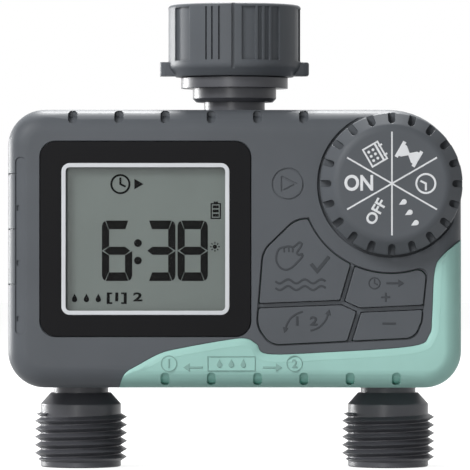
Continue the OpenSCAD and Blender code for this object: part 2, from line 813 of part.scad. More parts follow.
module key(i) {
    slab(face_y - key_proud, flange_front) key_outline(i);
    slab(flange_front, flange_back) key_outline(i, key_flange);
}
module ok_button() color(slate) key(0);
module delay_button() color(slate) key(1);
module zone_button() color(slate) key(2);
module minus_button() color(slate) key(3);

// ---- selector dial ----

module selector_dial() color(slate) at_dial() difference() {
    rotate([90, 0, 0]) rotate_extrude() polygon([
        [0, -dial_face_y], each [for (a = [0:45 / dial_fillet_steps:45])
            [dial_face_r + dial_fillet * (sin(a) - tan(22.5)), -dial_face_y - dial_fillet * (1 - cos(a))]],
        [dial_r, -dial_face_y - (dial_r - dial_face_r)],
        [dial_r, -dial_back], [dial_face_r + dial_skirt_clear, -dial_back],
        [dial_face_r + dial_skirt_clear, -dial_face_y - dial_skirt],
        [dial_face_r - 1, -dial_face_y - dial_skin], [hub_r, -dial_face_y - dial_skin], [hub_r, -clip_y],
        [hub_tip_r, -clip_y], [hub_tip_r, -wiper_y - wiper_t], [0, -wiper_y - wiper_t]]);
    for (i = [0:dial_notches - 1]) rotate([0, i * 360 / dial_notches, 0]) {
        y_rod(dial_notch_w / 2, dial_face_y - over, dial_face_y + dial_notch_depth, 0,
            dial_face_r + 1 + dial_notch_w / 2);
        translate([-dial_notch_w / 2, dial_face_y - over, dial_face_r + 1 + dial_notch_w / 2])
            cube([dial_notch_w, dial_notch_depth + over, dial_r - dial_face_r + over]);
    }
    // groove for the seal
    rotate([90, 0, 0]) translate([0, 0, -inner_y + 1]) seal_ring(hub_r, seal_groove);
}

module dial_seal() color([0.15, 0.15, 0.16]) at_dial() rotate([90, 0, 0]) translate([0, 0, -inner_y + 1])
    seal_ring(hub_r);

module dial_clip() color([0.7, 0.7, 0.72]) at_dial() difference() {
    y_rod(hub_r + clip_rim, clip_y, clip_y + clip_t);
    y_rod(hub_tip_r, clip_y - over, clip_y + clip_t + over);
    translate([-clip_slot / 2, clip_y - over, 0])
        cube([clip_slot, clip_t + 2 * over, hub_r + clip_rim + over]);
}

module dial_wiper() color([0.92, 0.92, 0.9]) at_dial() difference() {
    union() {
        y_rod(wiper_disc_r, wiper_y, wiper_y + wiper_t);
        for (a = [0, 120, 240]) rotate([0, a, 0]) translate([-wiper_arm_w / 2, wiper_y, 0])
            cube([wiper_arm_w, wiper_t, wiper_reach]);
    }
    y_rod(hub_tip_r, wiper_y - over, wiper_y + wiper_t + over);
}

module dial_contacts() color([0.8, 0.65, 0.3]) at_dial() for (a = [0, 120, 240]) rotate([0, a, 0])
    translate([-contact_w / 2, wiper_y + wiper_t, wiper_reach - contact_len - contact_tip])
        cube([contact_w, contact_strip_t, contact_len]);

// ---- inlet ----

// A ring sector between two radii and two heights, round the Z axis
module ring_sector(r0, r1, z0, z1, a0, a1) translate([0, 0, z0]) rotate([0, 0, a0])
    rotate_extrude(angle = a1 - a0) translate([r0, 0]) square([r1 - r0, z1 - z0]);

module swivel_nut() color(slate) difference() {
    union() {
        rotate_extrude() polygon([[spigot_r + nut_play, -nut_h], [nut_r - nut_bevel, -nut_h],
            [nut_r - nut_bevel / 3, -nut_h + nut_land / 2], [nut_r, -nut_h + nut_land],
            [nut_r, -nut_round], [nut_r - nut_round, 0], [thread_bore_r, 0],
            [thread_bore_r, -thread_depth], [thread_bore_r + nut_relief, -thread_depth - nut_relief],
            [thread_bore_r + nut_relief, nut_seat], [spigot_r + nut_play, nut_seat]]);
        // the two wings
        for (s = [-1, 1]) intersection() {
            difference() {
                z_rod(nut_r + wing_reach, -wing_top - wing_h, -wing_top);
                z_rod(nut_r - wing_root, -wing_top - wing_h - over, -wing_top + over);
            }
            translate([s * nut_r - 2 * wing_reach, -wing_w / 2, -wing_top - wing_h - over])
                cube([4 * wing_reach, wing_w, wing_h + 2 * over]);
        }
    }
    // each half of the rim has the same recesses, and one slot over its whole height
    for (turn = [-90, 90]) rotate([0, 0, turn]) {
        for (r = rib_recesses)
            ring_sector(nut_r - rib_depth, nut_r + over, -rib_len, -rib_start, r[0], r[1]);
        ring_sector(nut_r - rib_depth, nut_r + wing_reach, -nut_h + rib_slot_end, over,
            rib_slot[0], rib_slot[1]);
    }
}

module swivel_spigot() color(dark) difference() {
    union() {
        z_rod(flange_r, flange_top - flange_t, flange_top);
        z_rod(spigot_r, spigot_foot, flange_top - flange_t + eps);
    }
    z_rod(spigot_bore_r, spigot_foot - over, flange_top + over);
    translate([0, 0, ring_top - ring_h / 2]) seal_ring(spigot_r, seal_groove);
}

module spigot_seal() color([0.15, 0.15, 0.16]) translate([0, 0, ring_top - ring_h / 2])
    seal_ring(spigot_r);

module inlet_filter() color([0.35, 0.55, 0.75]) difference() {
    union() {
        z_rod(flange_r - washer_gap, flange_top, flange_top + filter_rim);
        rotate_extrude() polygon([[spigot_bore_r - filter_lip, flange_top + filter_rim],
            [spigot_bore_r - filter_gap, flange_top + filter_rim],
        [spigot_bore_r - filter_taper, flange_top - filter_depth],
            [0, flange_top - filter_depth], [0, flange_top - filter_depth + filter_wall],
            [spigot_bore_r - filter_taper - filter_wall, flange_top - filter_depth + filter_wall]]);
    }
    z_rod(spigot_bore_r - filter_lip, flange_top - eps, flange_top + over);
    for (i = [0:filter_slots - 1]) rotate([0, 0, (i * 360 + filter_rim) / filter_slots])
        ring_sector(3, spigot_bore_r + 1, flange_top - filter_depth + 2 * filter_wall, flange_top - filter_band,
            0, filter_slot_angle);
}

module inlet_washer() color([0.12, 0.12, 0.13]) difference() {
    z_rod(flange_r - washer_side_gap, flange_top + filter_rim, flange_top + filter_rim + washer_t);
    z_rod(spigot_bore_r + washer_bore_gap, flange_top - over, flange_top + washer_t + over);
}

// ---- water ways ----

module bonnet_ring() for (a = [45:90:315])
    translate([lug_ring * cos(a), 0, chamber_z + lug_ring * sin(a)]) children();

module valve_solid() {
    z_rod(elbow_r, chamber_z, bar_z + elbow_r);
    y_rod(chamber_r, chamber_front, chamber_rim, 0, chamber_z);
    z_rod(leg_r, leg_end, chamber_z - chamber_r);
    z_rod(leg_bore_r + leg_wall, leg_end, chamber_z);
    bonnet_ring() y_rod(lug_r, lug_front, chamber_rim);
}

module valve_ways() {
    z_rod(elbow_bore_r, chamber_z + seat_r + 1, bar_z);
    difference() {
        y_rod(annulus_r, chamber_front + chamber_floor_t, chamber_rim + over, 0, chamber_z);
        y_rod(seat_r, chamber_front, chamber_rim - seat_drop, 0, chamber_z);
        z_rod(leg_bore_r + annulus_cut, chamber_z - chamber_r, chamber_z - 1);
    }
    y_rod(seat_bore_r, chamber_front + chamber_floor_t + root, chamber_rim + over, 0, chamber_z);
    z_rod(leg_bore_r, leg_end - over, chamber_z - 1);
    z_rod(outlet_tube_r + outlet_shelf, leg_end - over, leg_end + outlet_socket_depth);
    bonnet_ring() y_rod(1, -2, chamber_rim + over);
}

module water_manifold() color(dark) difference() {
    union() {
        z_rod(collar_r, ring_top, collar_top);
        rotate_extrude() polygon([[0, ring_top + eps], [ring_r, ring_top + eps], [ring_r, neck_top + 1],
            [ring_r - 1, neck_top], [0, neck_top]]);
        z_rod(neck_r, bar_z, neck_top + eps);
        x_rod(bar_r, -outlet_x, outlet_x, 0, bar_z);
        both_sides() valve_solid();
    }
    z_rod(spigot_r + socket_clear, spigot_foot, collar_top + over);
    z_rod(neck_bore_r, bar_z, spigot_foot + over);
    x_rod(bar_bore_r, -outlet_x, outlet_x, 0, bar_z);
    both_sides() valve_ways();
}

module outlet(s) translate([s * outlet_x, 0, 0]) difference() {
    rotate_extrude() polygon([[0, outlet_top], [outlet_tube_r, outlet_top],
        [outlet_tube_r, flange_z + flange_h], [outlet_flange_r, flange_z + flange_h],
        [outlet_flange_r, flange_z],
        [outlet_neck_r, flange_z], [outlet_neck_r, body_bottom - neck_len],
        [outlet_neck_r + neck_step, body_bottom - neck_len], [barrel_r, barrel_top], [barrel_r, thread_top],
        [thread_r, thread_top], [thread_r, outlet_end + thread_chamfer], [thread_root_r, outlet_end],
        [0, outlet_end]]);
    z_rod(leg_bore_r, leg_end, leg_end + outlet_socket_depth);
    z_rod(leg_bore_r + tube_gap, body_bottom - outlet_cone, leg_end + over);
    z_rod(outlet_bore_r, outlet_end - over, body_bottom - outlet_cone + eps);
    translate([0, 0, leg_end + outlet_socket_depth - outlet_seal_drop]) seal_ring(outlet_tube_r, seal_groove);
}
module left_outlet() color(dark) outlet(-1);
module right_outlet() color(dark) outlet(1);

module outlet_seals() color([0.15, 0.15, 0.16]) both_sides()
    translate([0, 0, leg_end + outlet_socket_depth - outlet_seal_drop]) seal_ring(outlet_tube_r);

// ---- valves ----

module diaphragm(s) translate([s * outlet_x, 0, 0]) {
    y_rod(chamber_r - seat_drop, chamber_rim, bonnet_front, 0, chamber_z);
    y_rod(seat_r, chamber_rim - diaphragm_seat, chamber_rim + eps, 0, chamber_z);
    y_rod(seat_r - 1, bonnet_front - eps, bonnet_front + diaphragm_pad, 0, chamber_z);
}
module left_diaphragm() color([0.18, 0.18, 0.2]) diaphragm(-1);
module right_diaphragm() color([0.18, 0.18, 0.2]) diaphragm(1);

module bonnet(s) translate([s * outlet_x, 0, 0]) difference() {
    union() {
        y_rod(chamber_r, bonnet_front, bonnet_back, 0, chamber_z);
        y_rod(tube_r, bonnet_back - eps, tube_end, 0, chamber_z);
        bonnet_ring() y_rod(lug_r, bonnet_front, bonnet_front + bonnet_lug_t);
    }
    y_rod(annulus_r - 2, bonnet_front - over, bonnet_front + 2, 0, chamber_z);
    y_rod(plunger_r + plunger_clear, bonnet_front, tube_inner_end, 0, chamber_z);
    bonnet_ring() y_rod(bonnet_hole_r, bonnet_front - over, bonnet_back + over);
}
module left_bonnet() color([0.85, 0.85, 0.82]) bonnet(-1);
module right_bonnet() color([0.85, 0.85, 0.82]) bonnet(1);

module coil(s) translate([s * outlet_x, 0, 0]) difference() {
    union() {
        y_rod(coil_r, coil_front, coil_front + coil_flange_t, 0, chamber_z);
        y_rod(coil_r - coil_step, coil_front, coil_back, 0, chamber_z);
        y_rod(coil_r, coil_back - coil_flange_t, coil_back, 0, chamber_z);
    }
    y_rod(tube_r + coil_gap, coil_front - over, coil_back + over, 0, chamber_z);
}
module left_coil() color([0.7, 0.35, 0.15]) coil(-1);
module right_coil() color([0.7, 0.35, 0.15]) coil(1);

module coil_yokes() color([0.7, 0.7, 0.72]) both_sides() translate([0, 0, chamber_z]) {
    for (s = [-1, 1]) translate([-yoke_w / 2, coil_front, s * (coil_r + yoke_gap + yoke_t / 2) - yoke_t / 2])
        cube([yoke_w, coil_back - coil_front + yoke_t, yoke_t]);
    difference() {
        translate([-yoke_w / 2, coil_back, -coil_r - 2 * yoke_gap])
            cube([yoke_w, yoke_t, 2 * (coil_r + 2 * yoke_gap)]);
        y_rod(tube_r + yoke_gap, coil_back - over, coil_back + yoke_t + over);
    }
}

module plunger(s) translate([s * outlet_x, 0, 0]) difference() {
    union() {
        y_rod(plunger_r, plunger_front + 1, plunger_front + plunger_len, 0, chamber_z);
        y_rod(plunger_r - 1, plunger_front, plunger_front + 1 + eps, 0, chamber_z);
    }
    y_rod(plunger_recess_r, plunger_front + plunger_len - plunger_recess, plunger_front + plunger_len + over,
        0, chamber_z);
}
module left_plunger() color([0.72, 0.72, 0.74]) plunger(-1);
module right_plunger() color([0.72, 0.72, 0.74]) plunger(1);

// A coil spring along +Z: a small polygon swept along a helix
function helix_ring(t, r0, r1, h, turns, w, n) = let (
    a = 360 * turns * t, r = r0 + (r1 - r0) * t, z = w + (h - 2 * w) * t)
    [for (k = [0:n - 1]) let (b = 360 * k / n)
        [(r + w * cos(b)) * cos(a), (r + w * cos(b)) * sin(a), z + w * sin(b)]];
module coil_spring(r0, r1, h, turns, w, n = 6, per_turn = 12) {
    steps = ceil(turns * per_turn);
    points = [for (i = [0:steps]) each helix_ring(i / steps, r0, r1, h, turns, w, n)];
    faces = concat(
        [[for (k = [0:n - 1]) k]],
        [for (i = [0:steps - 1]) for (k = [0:n - 1]) let (m = (k + 1) % n)
            [i * n + k, (i + 1) * n + k, (i + 1) * n + m, i * n + m]],
        [[for (k = [n - 1:-1:0]) steps * n + k]]);
    polyhedron(points = points, faces = faces, convexity = 10);
}

module plunger_spring(s) translate([s * outlet_x, plunger_front + plunger_len, chamber_z]) rotate([-90, 0, 0])
    coil_spring(spring_r, spring_r, tube_inner_end - plunger_front - plunger_len - spring_gap,
        spring_turns, spring_wire);
module left_plunger_spring() color([0.8, 0.8, 0.82]) plunger_spring(-1);
module right_plunger_spring() color([0.8, 0.8, 0.82]) plunger_spring(1);

module bonnet_screws() color([0.75, 0.75, 0.77]) both_sides() bonnet_ring() difference() {
    union() {
        y_rod(bonnet_screw_head_r, bonnet_front + bonnet_lug_t,
            bonnet_front + bonnet_lug_t + bonnet_screw_head_t);
        y_rod(bonnet_screw_r, 0, bonnet_front + bonnet_lug_t + eps);
    }
    y_rod(board_screw_recess_r, bonnet_front + bonnet_lug_t + recess_depth, bonnet_back + over);
}

// ---- batteries ----

module battery_box() color([0.16, 0.17, 0.18]) translate([0, 0, box_mid_z]) difference() {
    slab(box_front, box_back) square([box_in_w + 2 * box_wall, box_in_h + 2 * box_wall], center = true);
    slab(box_front + box_floor, box_back + over) square([box_in_w, box_in_h], center = true);
    // finger cut-outs under the cells
    slab(box_front - over, box_front + 2) square([finger_w, box_in_h - finger_margin], center = true);
}

// One cell along X; s is the side that its button points to
module cell(s, z) {
    body_x0 = s > 0 ? -cell_len / 2 : -cell_len / 2 + cell_cap;
    x_rod(cell_r, body_x0, body_x0 + cell_len - cell_cap, cell_y, box_mid_z + z);
    button_x0 = s > 0 ? cell_len / 2 - cell_button : -cell_len / 2;
    x_rod(cell_button_r, button_x0, button_x0 + cell_button, cell_y, box_mid_z + z);
}
module upper_cell() color([0.75, 0.55, 0.2]) cell(1, cell_pitch / 2);
module lower_cell() color([0.75, 0.55, 0.2]) cell(-1, -cell_pitch / 2);

module cell_springs() color([0.8, 0.8, 0.82]) for (s = [-1, 1])
    translate([-s * (box_in_w / 2 - contact_t - spring_gap), cell_y, box_mid_z + s * cell_pitch / 2])
        rotate([0, s * 90, 0])
        coil_spring(cell_spring_r, cell_spring_tip_r, (box_in_w - cell_len) / 2 - contact_t - 2 * spring_gap,
            cell_spring_turns, cell_spring_wire);

module cell_contacts() color([0.8, 0.8, 0.82]) for (s = [-1, 1]) for (t = [-1, 1])
    translate([s * (box_in_w / 2 - contact_t / 2) - contact_t / 2, cell_y - contact_d / 2,
        box_mid_z + t * cell_pitch / 2 - contact_h / 2]) cube([contact_t, contact_d, contact_h]);

// The door's outline: a plate with its hinge barrel below it
module door_shape(grow = 0) {
    translate([0, (door_top + hinge_z + door_foot) / 2])
        offset(delta = grow) rounded_rect(door_w, door_h - door_foot, door_corner);
    translate([0, hinge_z + door_t / 2])
        square([2 * (hinge_half + (grow > 0 ? hinge_gap : 0)), 3 * door_t], center = true);
}

// The rectangular seal round the battery opening, or its groove
module seal_frame(grow = 0) difference() {
    square([box_in_w + 2 * (door_seal_in + door_seal_w + grow),
        box_in_h + 2 * (door_seal_in + door_seal_w + grow)], center = true);
    square([box_in_w + 2 * (door_seal_in - grow), box_in_h + 2 * (door_seal_in - grow)], center = true);
}

module battery_door() color(slate) difference() {
    union() {
        slab(door_back - door_t, door_back) intersection() {
            door_shape();
            translate([-door_w, hinge_z]) square([2 * door_w, 2 * door_h]);
        }
        x_rod(door_t / 2, -hinge_half, hinge_half, door_mid_y, hinge_z);
        for (x = [-door_rib_x, door_rib_x])
            let (h = box_in_h - finger_margin, front = cell_y + cell_r + door_rib_gap)
            translate([x - door_rib_w / 2, front, box_mid_z - h / 2])
                cube([door_rib_w, door_back - door_t - front + eps, h]);
    }
    x_rod(pin_r + pin_clear, -hinge_half - over, hinge_half + over, door_mid_y, hinge_z);
    translate([0, 0, box_mid_z]) slab(door_back - door_t - over, door_back - door_t + door_groove)
        seal_frame(door_groove_gap);
    // finger scoop and grip lines
    translate([0, back_y, door_top + scoop_up]) y_rod(scoop_r, -scoop_depth, over);
    for (i = [0:grip_lines - 1])
        translate([-grip_line_w / 2, door_back - grip_line_depth,
            door_top - grip_line_first - grip_line_pitch * i])
        cube([grip_line_w, over, grip_line_h]);
}

module door_seal() color([0.15, 0.15, 0.16]) translate([0, 0, box_mid_z])
    slab(door_back - door_t - border_gap * 2, door_back - door_t + door_groove - border_gap) seal_frame();

module door_pin() color([0.75, 0.75, 0.77]) x_rod(pin_r, -hinge_half - pin_seat + pin_short,
    hinge_half + pin_seat - pin_short, door_mid_y, hinge_z);

// ---- fasteners ----

module case_screws() color([0.6, 0.6, 0.62]) for (p = case_bosses) difference() {
    union() {
        y_rod(screw_head_r, counterbore_y, counterbore_y + screw_head_t, p[0], p[1]);
        y_rod(screw_r, screw_tip, counterbore_y + eps, p[0], p[1]);
    }
    y_rod(case_screw_recess_r, counterbore_y + recess_depth, counterbore_y + screw_head_t + over, p[0], p[1]);
}

module board_screws() color([0.75, 0.75, 0.77]) for (p = board_posts) difference() {
    union() {
        y_rod(board_screw_head_r, board_back, board_back + board_screw_head_t, p[0], p[1]);
        y_rod(board_screw_r, inner_y + 2 * root, board_back + eps, p[0], p[1]);
    }
    y_rod(board_screw_recess_r, board_back + recess_depth, board_back + 2, p[0], p[1]);
}

front_shell();
rear_shell();
shell_gasket();
corner_trim();
display_border();
display_lens();
lcd_panel();
lcd_holder();
lcd_connectors();
circuit_board();
keypad_membrane();
ok_button();
delay_button();
zone_button();
minus_button();
selector_dial();
dial_seal();
dial_clip();
dial_wiper();
dial_contacts();
swivel_nut();
swivel_spigot();
spigot_seal();
inlet_washer();
inlet_filter();
water_manifold();
left_outlet();
right_outlet();
outlet_seals();
left_diaphragm();
right_diaphragm();
left_bonnet();
right_bonnet();
left_coil();
right_coil();
coil_yokes();
left_plunger();
right_plunger();
left_plunger_spring();
right_plunger_spring();
bonnet_screws();
battery_box();
upper_cell();
lower_cell();
cell_springs();
cell_contacts();
battery_door();
door_seal();
door_pin();
case_screws();
board_screws();
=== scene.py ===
"""Models a two-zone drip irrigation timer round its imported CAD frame, for a studio view."""

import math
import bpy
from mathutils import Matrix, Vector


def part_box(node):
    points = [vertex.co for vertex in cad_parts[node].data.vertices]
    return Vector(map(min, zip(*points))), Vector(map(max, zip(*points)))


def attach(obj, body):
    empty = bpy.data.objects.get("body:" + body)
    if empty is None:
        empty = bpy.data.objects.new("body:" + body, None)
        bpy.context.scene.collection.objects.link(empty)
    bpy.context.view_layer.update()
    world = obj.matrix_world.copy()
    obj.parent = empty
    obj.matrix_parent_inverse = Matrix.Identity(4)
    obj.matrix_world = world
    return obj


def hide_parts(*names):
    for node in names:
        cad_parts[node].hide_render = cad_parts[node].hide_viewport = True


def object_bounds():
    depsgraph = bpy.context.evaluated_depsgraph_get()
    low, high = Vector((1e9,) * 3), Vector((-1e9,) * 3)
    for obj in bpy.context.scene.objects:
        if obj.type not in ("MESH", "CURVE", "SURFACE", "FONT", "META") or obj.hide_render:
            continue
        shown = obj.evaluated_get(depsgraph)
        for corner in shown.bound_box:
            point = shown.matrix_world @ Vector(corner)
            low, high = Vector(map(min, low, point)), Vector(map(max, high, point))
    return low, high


bl_info = {
    "name": "Drip Irrigation Timer",
    "version": (1, 0, 0),
    "blender": (4, 5, 0),
    "location": "3D View > Sidebar > Timer",
    "description": "Models a two-zone drip irrigation timer round its CAD frame",
    "category": "Add Mesh",
}

from contextlib import contextmanager

import bmesh
import bpy
from bpy.props import FloatProperty, FloatVectorProperty, IntProperty, PointerProperty
from bpy.types import Operator, Panel, PropertyGroup
from mathutils import Vector

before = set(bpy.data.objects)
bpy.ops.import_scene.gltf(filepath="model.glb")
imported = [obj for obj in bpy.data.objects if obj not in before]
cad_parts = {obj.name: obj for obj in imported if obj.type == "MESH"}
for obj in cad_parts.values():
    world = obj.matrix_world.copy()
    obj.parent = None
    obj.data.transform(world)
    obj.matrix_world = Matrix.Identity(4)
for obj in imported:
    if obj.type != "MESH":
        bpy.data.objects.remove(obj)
CAD_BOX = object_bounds()

MM = 0.001
TINY = 1e-6
DEPTH_SLACK = 5 * TINY
RIGHT_ANGLE = math.pi / 2
FULL_TURN = 2 * math.pi

# How far a cutter reaches past what it cuts
OVER = 1.0 * MM
SLACK = 0.1 * MM

# Angles that part one face from the next: in a flat, on a side, at a rim and in the shading
FLAT = math.radians(0.2)
SHARP_SIDE = math.radians(20)
SHARP_RIM = math.radians(50)
SMOOTH = math.radians(32)

# Steps of the curves that show
CORNER_STEPS = 14
EDGE_STEPS = 8
ROUND_STEPS = 96
FINE_STEPS = 192

# Places taken from the CAD frame
CASE_LOW, CASE_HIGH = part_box("front_shell")
CASE_MID = (CASE_LOW + CASE_HIGH) / 2
FACE = CASE_LOW.y
PARTING = 0.0
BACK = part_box("rear_shell")[1].y
TOP = CASE_HIGH.z
BOTTOM = CASE_LOW.z
LEFT = CASE_LOW.x
RIGHT = CASE_HIGH.x
DIAL_LOW, DIAL_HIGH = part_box("selector_dial")
DIAL = Vector(((DIAL_LOW.x + DIAL_HIGH.x) / 2, 0, (DIAL_LOW.z + DIAL_HIGH.z) / 2))
BORDER_LOW, BORDER_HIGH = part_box("display_border")
DISPLAY = (BORDER_LOW + BORDER_HIGH) / 2
LENS_LOW, LENS_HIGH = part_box("display_lens")
PANEL_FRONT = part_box("lcd_panel")[0].y
TRIM_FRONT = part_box("corner_trim")[0].y
NUT_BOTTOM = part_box("swivel_nut")[0].z
OUTLET_LOW, OUTLET_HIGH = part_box("right_outlet")
OUTLET_X = (OUTLET_LOW.x + OUTLET_HIGH.x) / 2
DOOR_LOW, DOOR_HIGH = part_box("battery_door")


def linear(*levels):
    """A colour given as levels from 0 to 255, in Blender's linear values."""
    shares = [level / 255 for level in levels]
    return tuple(s / 12.92 if s <= 0.04045 else ((s + 0.055) / 1.055) ** 2.4 for s in shares)


def length(name, description, millimetres):
    return FloatProperty(name=name, description=description, default=millimetres * MM, min=0,
                         unit="LENGTH", precision=5)


def colour(name, description, *levels):
    return FloatVectorProperty(name=name, description=description, default=linear(*levels),
                               min=0, max=1, subtype="COLOR")


def share(name, description, default):
    return FloatProperty(name=name, description=description, default=default, min=0, max=1,
                         subtype="FACTOR")


def power(name, description, watts):
    return FloatProperty(name=name, description=description, default=watts, min=0)


# ---- settings ----


class HousingSettings(PropertyGroup):
    wall: length("Wall", "Wall thickness of both shells", 3.2)
    corner: length("Corner", "Corner radius of the housing", 10.5)
    dial_corner: length("Dial corner", "Corner radius beside the dial", 20.8)
    front_edge: length("Front edge", "Rounding of the front edge", 6.5)
    rear_edge: length("Rear edge", "Rounding of the rear edge", 5)
    rim: length("Rim", "Rounding of the cut edges", 0.25)
    notch_width: length("Notch width", "Width of a notch in the top edge", 2.6)
    notch_pitch: length("Notch pitch", "Distance between notches", 13.2)
    notch_depth: length("Notch depth", "Depth of the notches in the top edge", 1.6)
    grip_depth: length("Grip depth", "Depth of the finger recesses in the left edge", 0.35)


class TrimSettings(PropertyGroup):
    thickness: length("Thickness", "Thickness of the soft trim behind the face", 1.5)
    slope: length("Slope", "Width of the trim's sloped inner edge", 2.3)
    crest: length("Crest", "Width of the ridge inside the sloped edge", 0.3)
    step: length("Step", "Drop of the face inside the ridge", 0.14)
    lip: length("Lip", "Height of the trim's inner edge over the face", 0.1)
    notch_width: length("Notch width", "Width of a notch in the trim", 2.5)
    notch_depth: length("Notch depth", "Depth of a notch in the trim", 0.9)


class DisplaySettings(PropertyGroup):
    corner: length("Corner", "Corner radius of the black border", 4.6)
    line: length("Line", "Width of the white line round the window", 1.2)
    line_corner: length("Line corner", "Corner radius of the white line", 2.4)


class KeypadSettings(PropertyGroup):
    gap: length("Gap", "Gap between neighbouring keys", 1.5)
    clearance: length("Clearance", "Clearance between a key and its opening", 0.2)
    proud: length("Proud", "How far the keys stand in front of the housing", 0.3)
    sink: length("Sink", "Depth of the sunk field under the keys", 0.9)
    arc: length("Arc", "Radius of the field's arc about the dial", 25.7)
    corner: length("Corner", "Corner radius of the field", 2.4)
    key_corner: length("Key corner", "Corner radius of a key at the gaps", 0.7)
    key_edge: length("Key edge", "Rounding of a key's front edge", 0.35)


class DialSettings(PropertyGroup):
    face: length("Face", "Radius of the dial's flat face", 16.1)
    fillet: length("Fillet", "Rounding between the face and the bevel", 1.6)
    notch_width: length("Notch width", "Width of a finger notch", 2)
    notches: IntProperty(name="Notches", description="Number of finger notches", default=20, min=3)
    line_width: length("Line width", "Width of the white lines", 0.48)
    line_reach: length("Line reach", "Length of the white lines from the centre", 14.7)


class InletSettings(PropertyGroup):
    rib_depth: length("Rib depth", "Depth of the recesses round the nut", 0.75)
    thread_pitch: length("Thread pitch", "Pitch of the nut's inner thread", 2.2)
    thread_height: length("Thread height", "Height of the inner thread's crest", 0.45)


class OutletSettings(PropertyGroup):
    crest: length("Crest", "Radius over the thread's crests", 13.45)
    root: length("Root", "Radius between the thread's crests", 11.75)
    pitch: length("Pitch", "Pitch of the outlet threads", 2.335)
    bore: length("Bore", "Radius of the bore at the mouth", 9)


class FinishSettings(PropertyGroup):
    case: colour("Housing", "Colour of the moulded housing", 90, 94, 99)
    pipe: colour("Pipes", "Colour of the water parts", 80, 81, 86)
    trim: colour("Trim", "Colour of the soft corner trim", 174, 221, 212)
    border: colour("Border", "Colour of the display border", 19, 19, 21)
    print_white: colour("Print", "Colour of the white print", 226, 229, 233)
    glass: colour("Display", "Colour of the liquid crystal glass", 118, 128, 124)
    ink: colour("Digits", "Colour of the dark digits", 14, 15, 15)
    grain: share("Grain", "Strength of the moulded grain", 0.12)
    variation: share("Variation", "How much the moulded colour varies", 0.05)


class StageSettings(PropertyGroup):
    floor: colour("Floor", "Colour of the floor", 150, 150, 150)
    glow: share("Glow", "Brightness that the floor adds to its own colour", 0.9)
    ambient: share("Ambient", "Strength of the light from all round", 0.09)
    top_light: power("Top light", "Power of the light above", 15.5)
    key_light: power("Key light", "Power of the light at the upper left", 12.2)
    side_light: power("Side light", "Power of the light at the left", 10)
    strip_light: power("Strip light", "Power of the narrow light that draws lines on the pipes", 5)


# ---- modelling helpers ----


def clear_selection():
    if bpy.context.mode != "OBJECT":
        bpy.ops.object.mode_set(mode="OBJECT")
    bpy.ops.object.select_all(action="DESELECT")


def focus(piece):
    clear_selection()
    piece.select_set(True)
    bpy.context.view_layer.objects.active = piece


def settle():
    """Puts the selected object's place, turn and size into its mesh."""
    bpy.ops.object.transform_apply(location=True, rotation=True, scale=True)


def start(kind, name, scale=(1, 1, 1), **how):
    """Adds a primitive at its place and size."""
    clear_selection()
    getattr(bpy.ops.mesh, f"primitive_{kind}_add")(**how)
    piece = bpy.context.object
    piece.scale = scale
    piece.name = piece.data.name = name
    settle()
    return piece


@contextmanager
def shaping(piece):
    """Edit mode on one piece."""
    focus(piece)
    bpy.ops.object.mode_set(mode="EDIT")
    yield
    bpy.ops.object.mode_set(mode="OBJECT")


def pick(kind, test=None):
    """Selects the vertices, edges or faces that pass the test, or all, in the mesh being shaped."""
    bpy.ops.mesh.select_mode(type=kind)
    bpy.ops.mesh.select_all(action="DESELECT" if test else "SELECT")
    if test:
        mesh = bpy.context.object.data
        shape = bmesh.from_edit_mesh(mesh)
        parts = {"VERT": shape.verts, "EDGE": shape.edges, "FACE": shape.faces}[kind]
        for part in parts:
            if test(part):
                part.select_set(True)
        bmesh.update_edit_mesh(mesh)


def push(x=0.0, y=0.0, z=0.0):
    """Extrudes what is selected."""
    bpy.ops.mesh.extrude_region_move(TRANSFORM_OT_translate={"value": (x, y, z)})


def face_out():
    """Merges doubles and turns every face outwards."""
    pick("VERT")
    bpy.ops.mesh.remove_doubles(threshold=TINY)
    bpy.ops.mesh.normals_make_consistent(inside=False)


def closed_up(piece):
    """The piece with its faces turned outwards, out of edit mode."""
    face_out()
    bpy.ops.object.mode_set(mode="OBJECT")
    return piece


def at_depth(depth):
    """A test for edges that lie at one depth."""
    def test(edge):
        return all(abs(v.co.y - depth) < DEPTH_SLACK for v in edge.verts)
    return test


def along(axis):
    """A test for sharp edges that run along X, Y or Z."""
    def test(edge):
        run = edge.verts[1].co - edge.verts[0].co
        reach = abs(run["XYZ".index(axis)])
        return run.length > 0 and reach > 0.999 * run.length and edge.calc_face_angle(0) > SHARP_SIDE
    return test


def bevel(offset, segments, affect="EDGES"):
    bpy.ops.mesh.bevel(offset=offset, offset_type="OFFSET", segments=segments, affect=affect,
                       clamp_overlap=True)


def chain(name, points):
    """A line of edges drawn from point to point, left in edit mode."""
    piece = start("plane", name, size=MM, location=points[0])
    focus(piece)
    bpy.ops.object.mode_set(mode="EDIT")
    pick("VERT")
    bpy.ops.mesh.merge(type="CENTER")
    for near, far in zip(points, points[1:]):
        push(*(Vector(far) - Vector(near)))
    return piece


def close_loop(name, points):
    """A face drawn round the points, left in edit mode."""
    piece = chain(name, points)
    pick("VERT")
    bpy.ops.mesh.edge_face_add()
    return piece


def prism(name, points, near, far, corner=0.0, steps=6):
    """A solid between two depths, its outline given as (x, z) pairs."""
    piece = close_loop(name, [(x, near, z) for x, z in points])
    if corner:
        pick("VERT")
        bevel(corner, steps, "VERTICES")
    pick("FACE")
    push(y=far - near)
    return closed_up(piece)


def plate(name, centre, width, height, near, far, corner=0.0, steps=8):
    """A flat plate between two depths, with rounded corners."""
    piece = start("plane", name, size=1, location=(centre[0], near, centre[2]),
                  rotation=(RIGHT_ANGLE, 0, 0), scale=(width, height, 1))
    with shaping(piece):
        if corner:
            pick("VERT")
            bevel(corner, steps, "VERTICES")
        pick("FACE")
        push(y=far - near)
        face_out()
    return piece


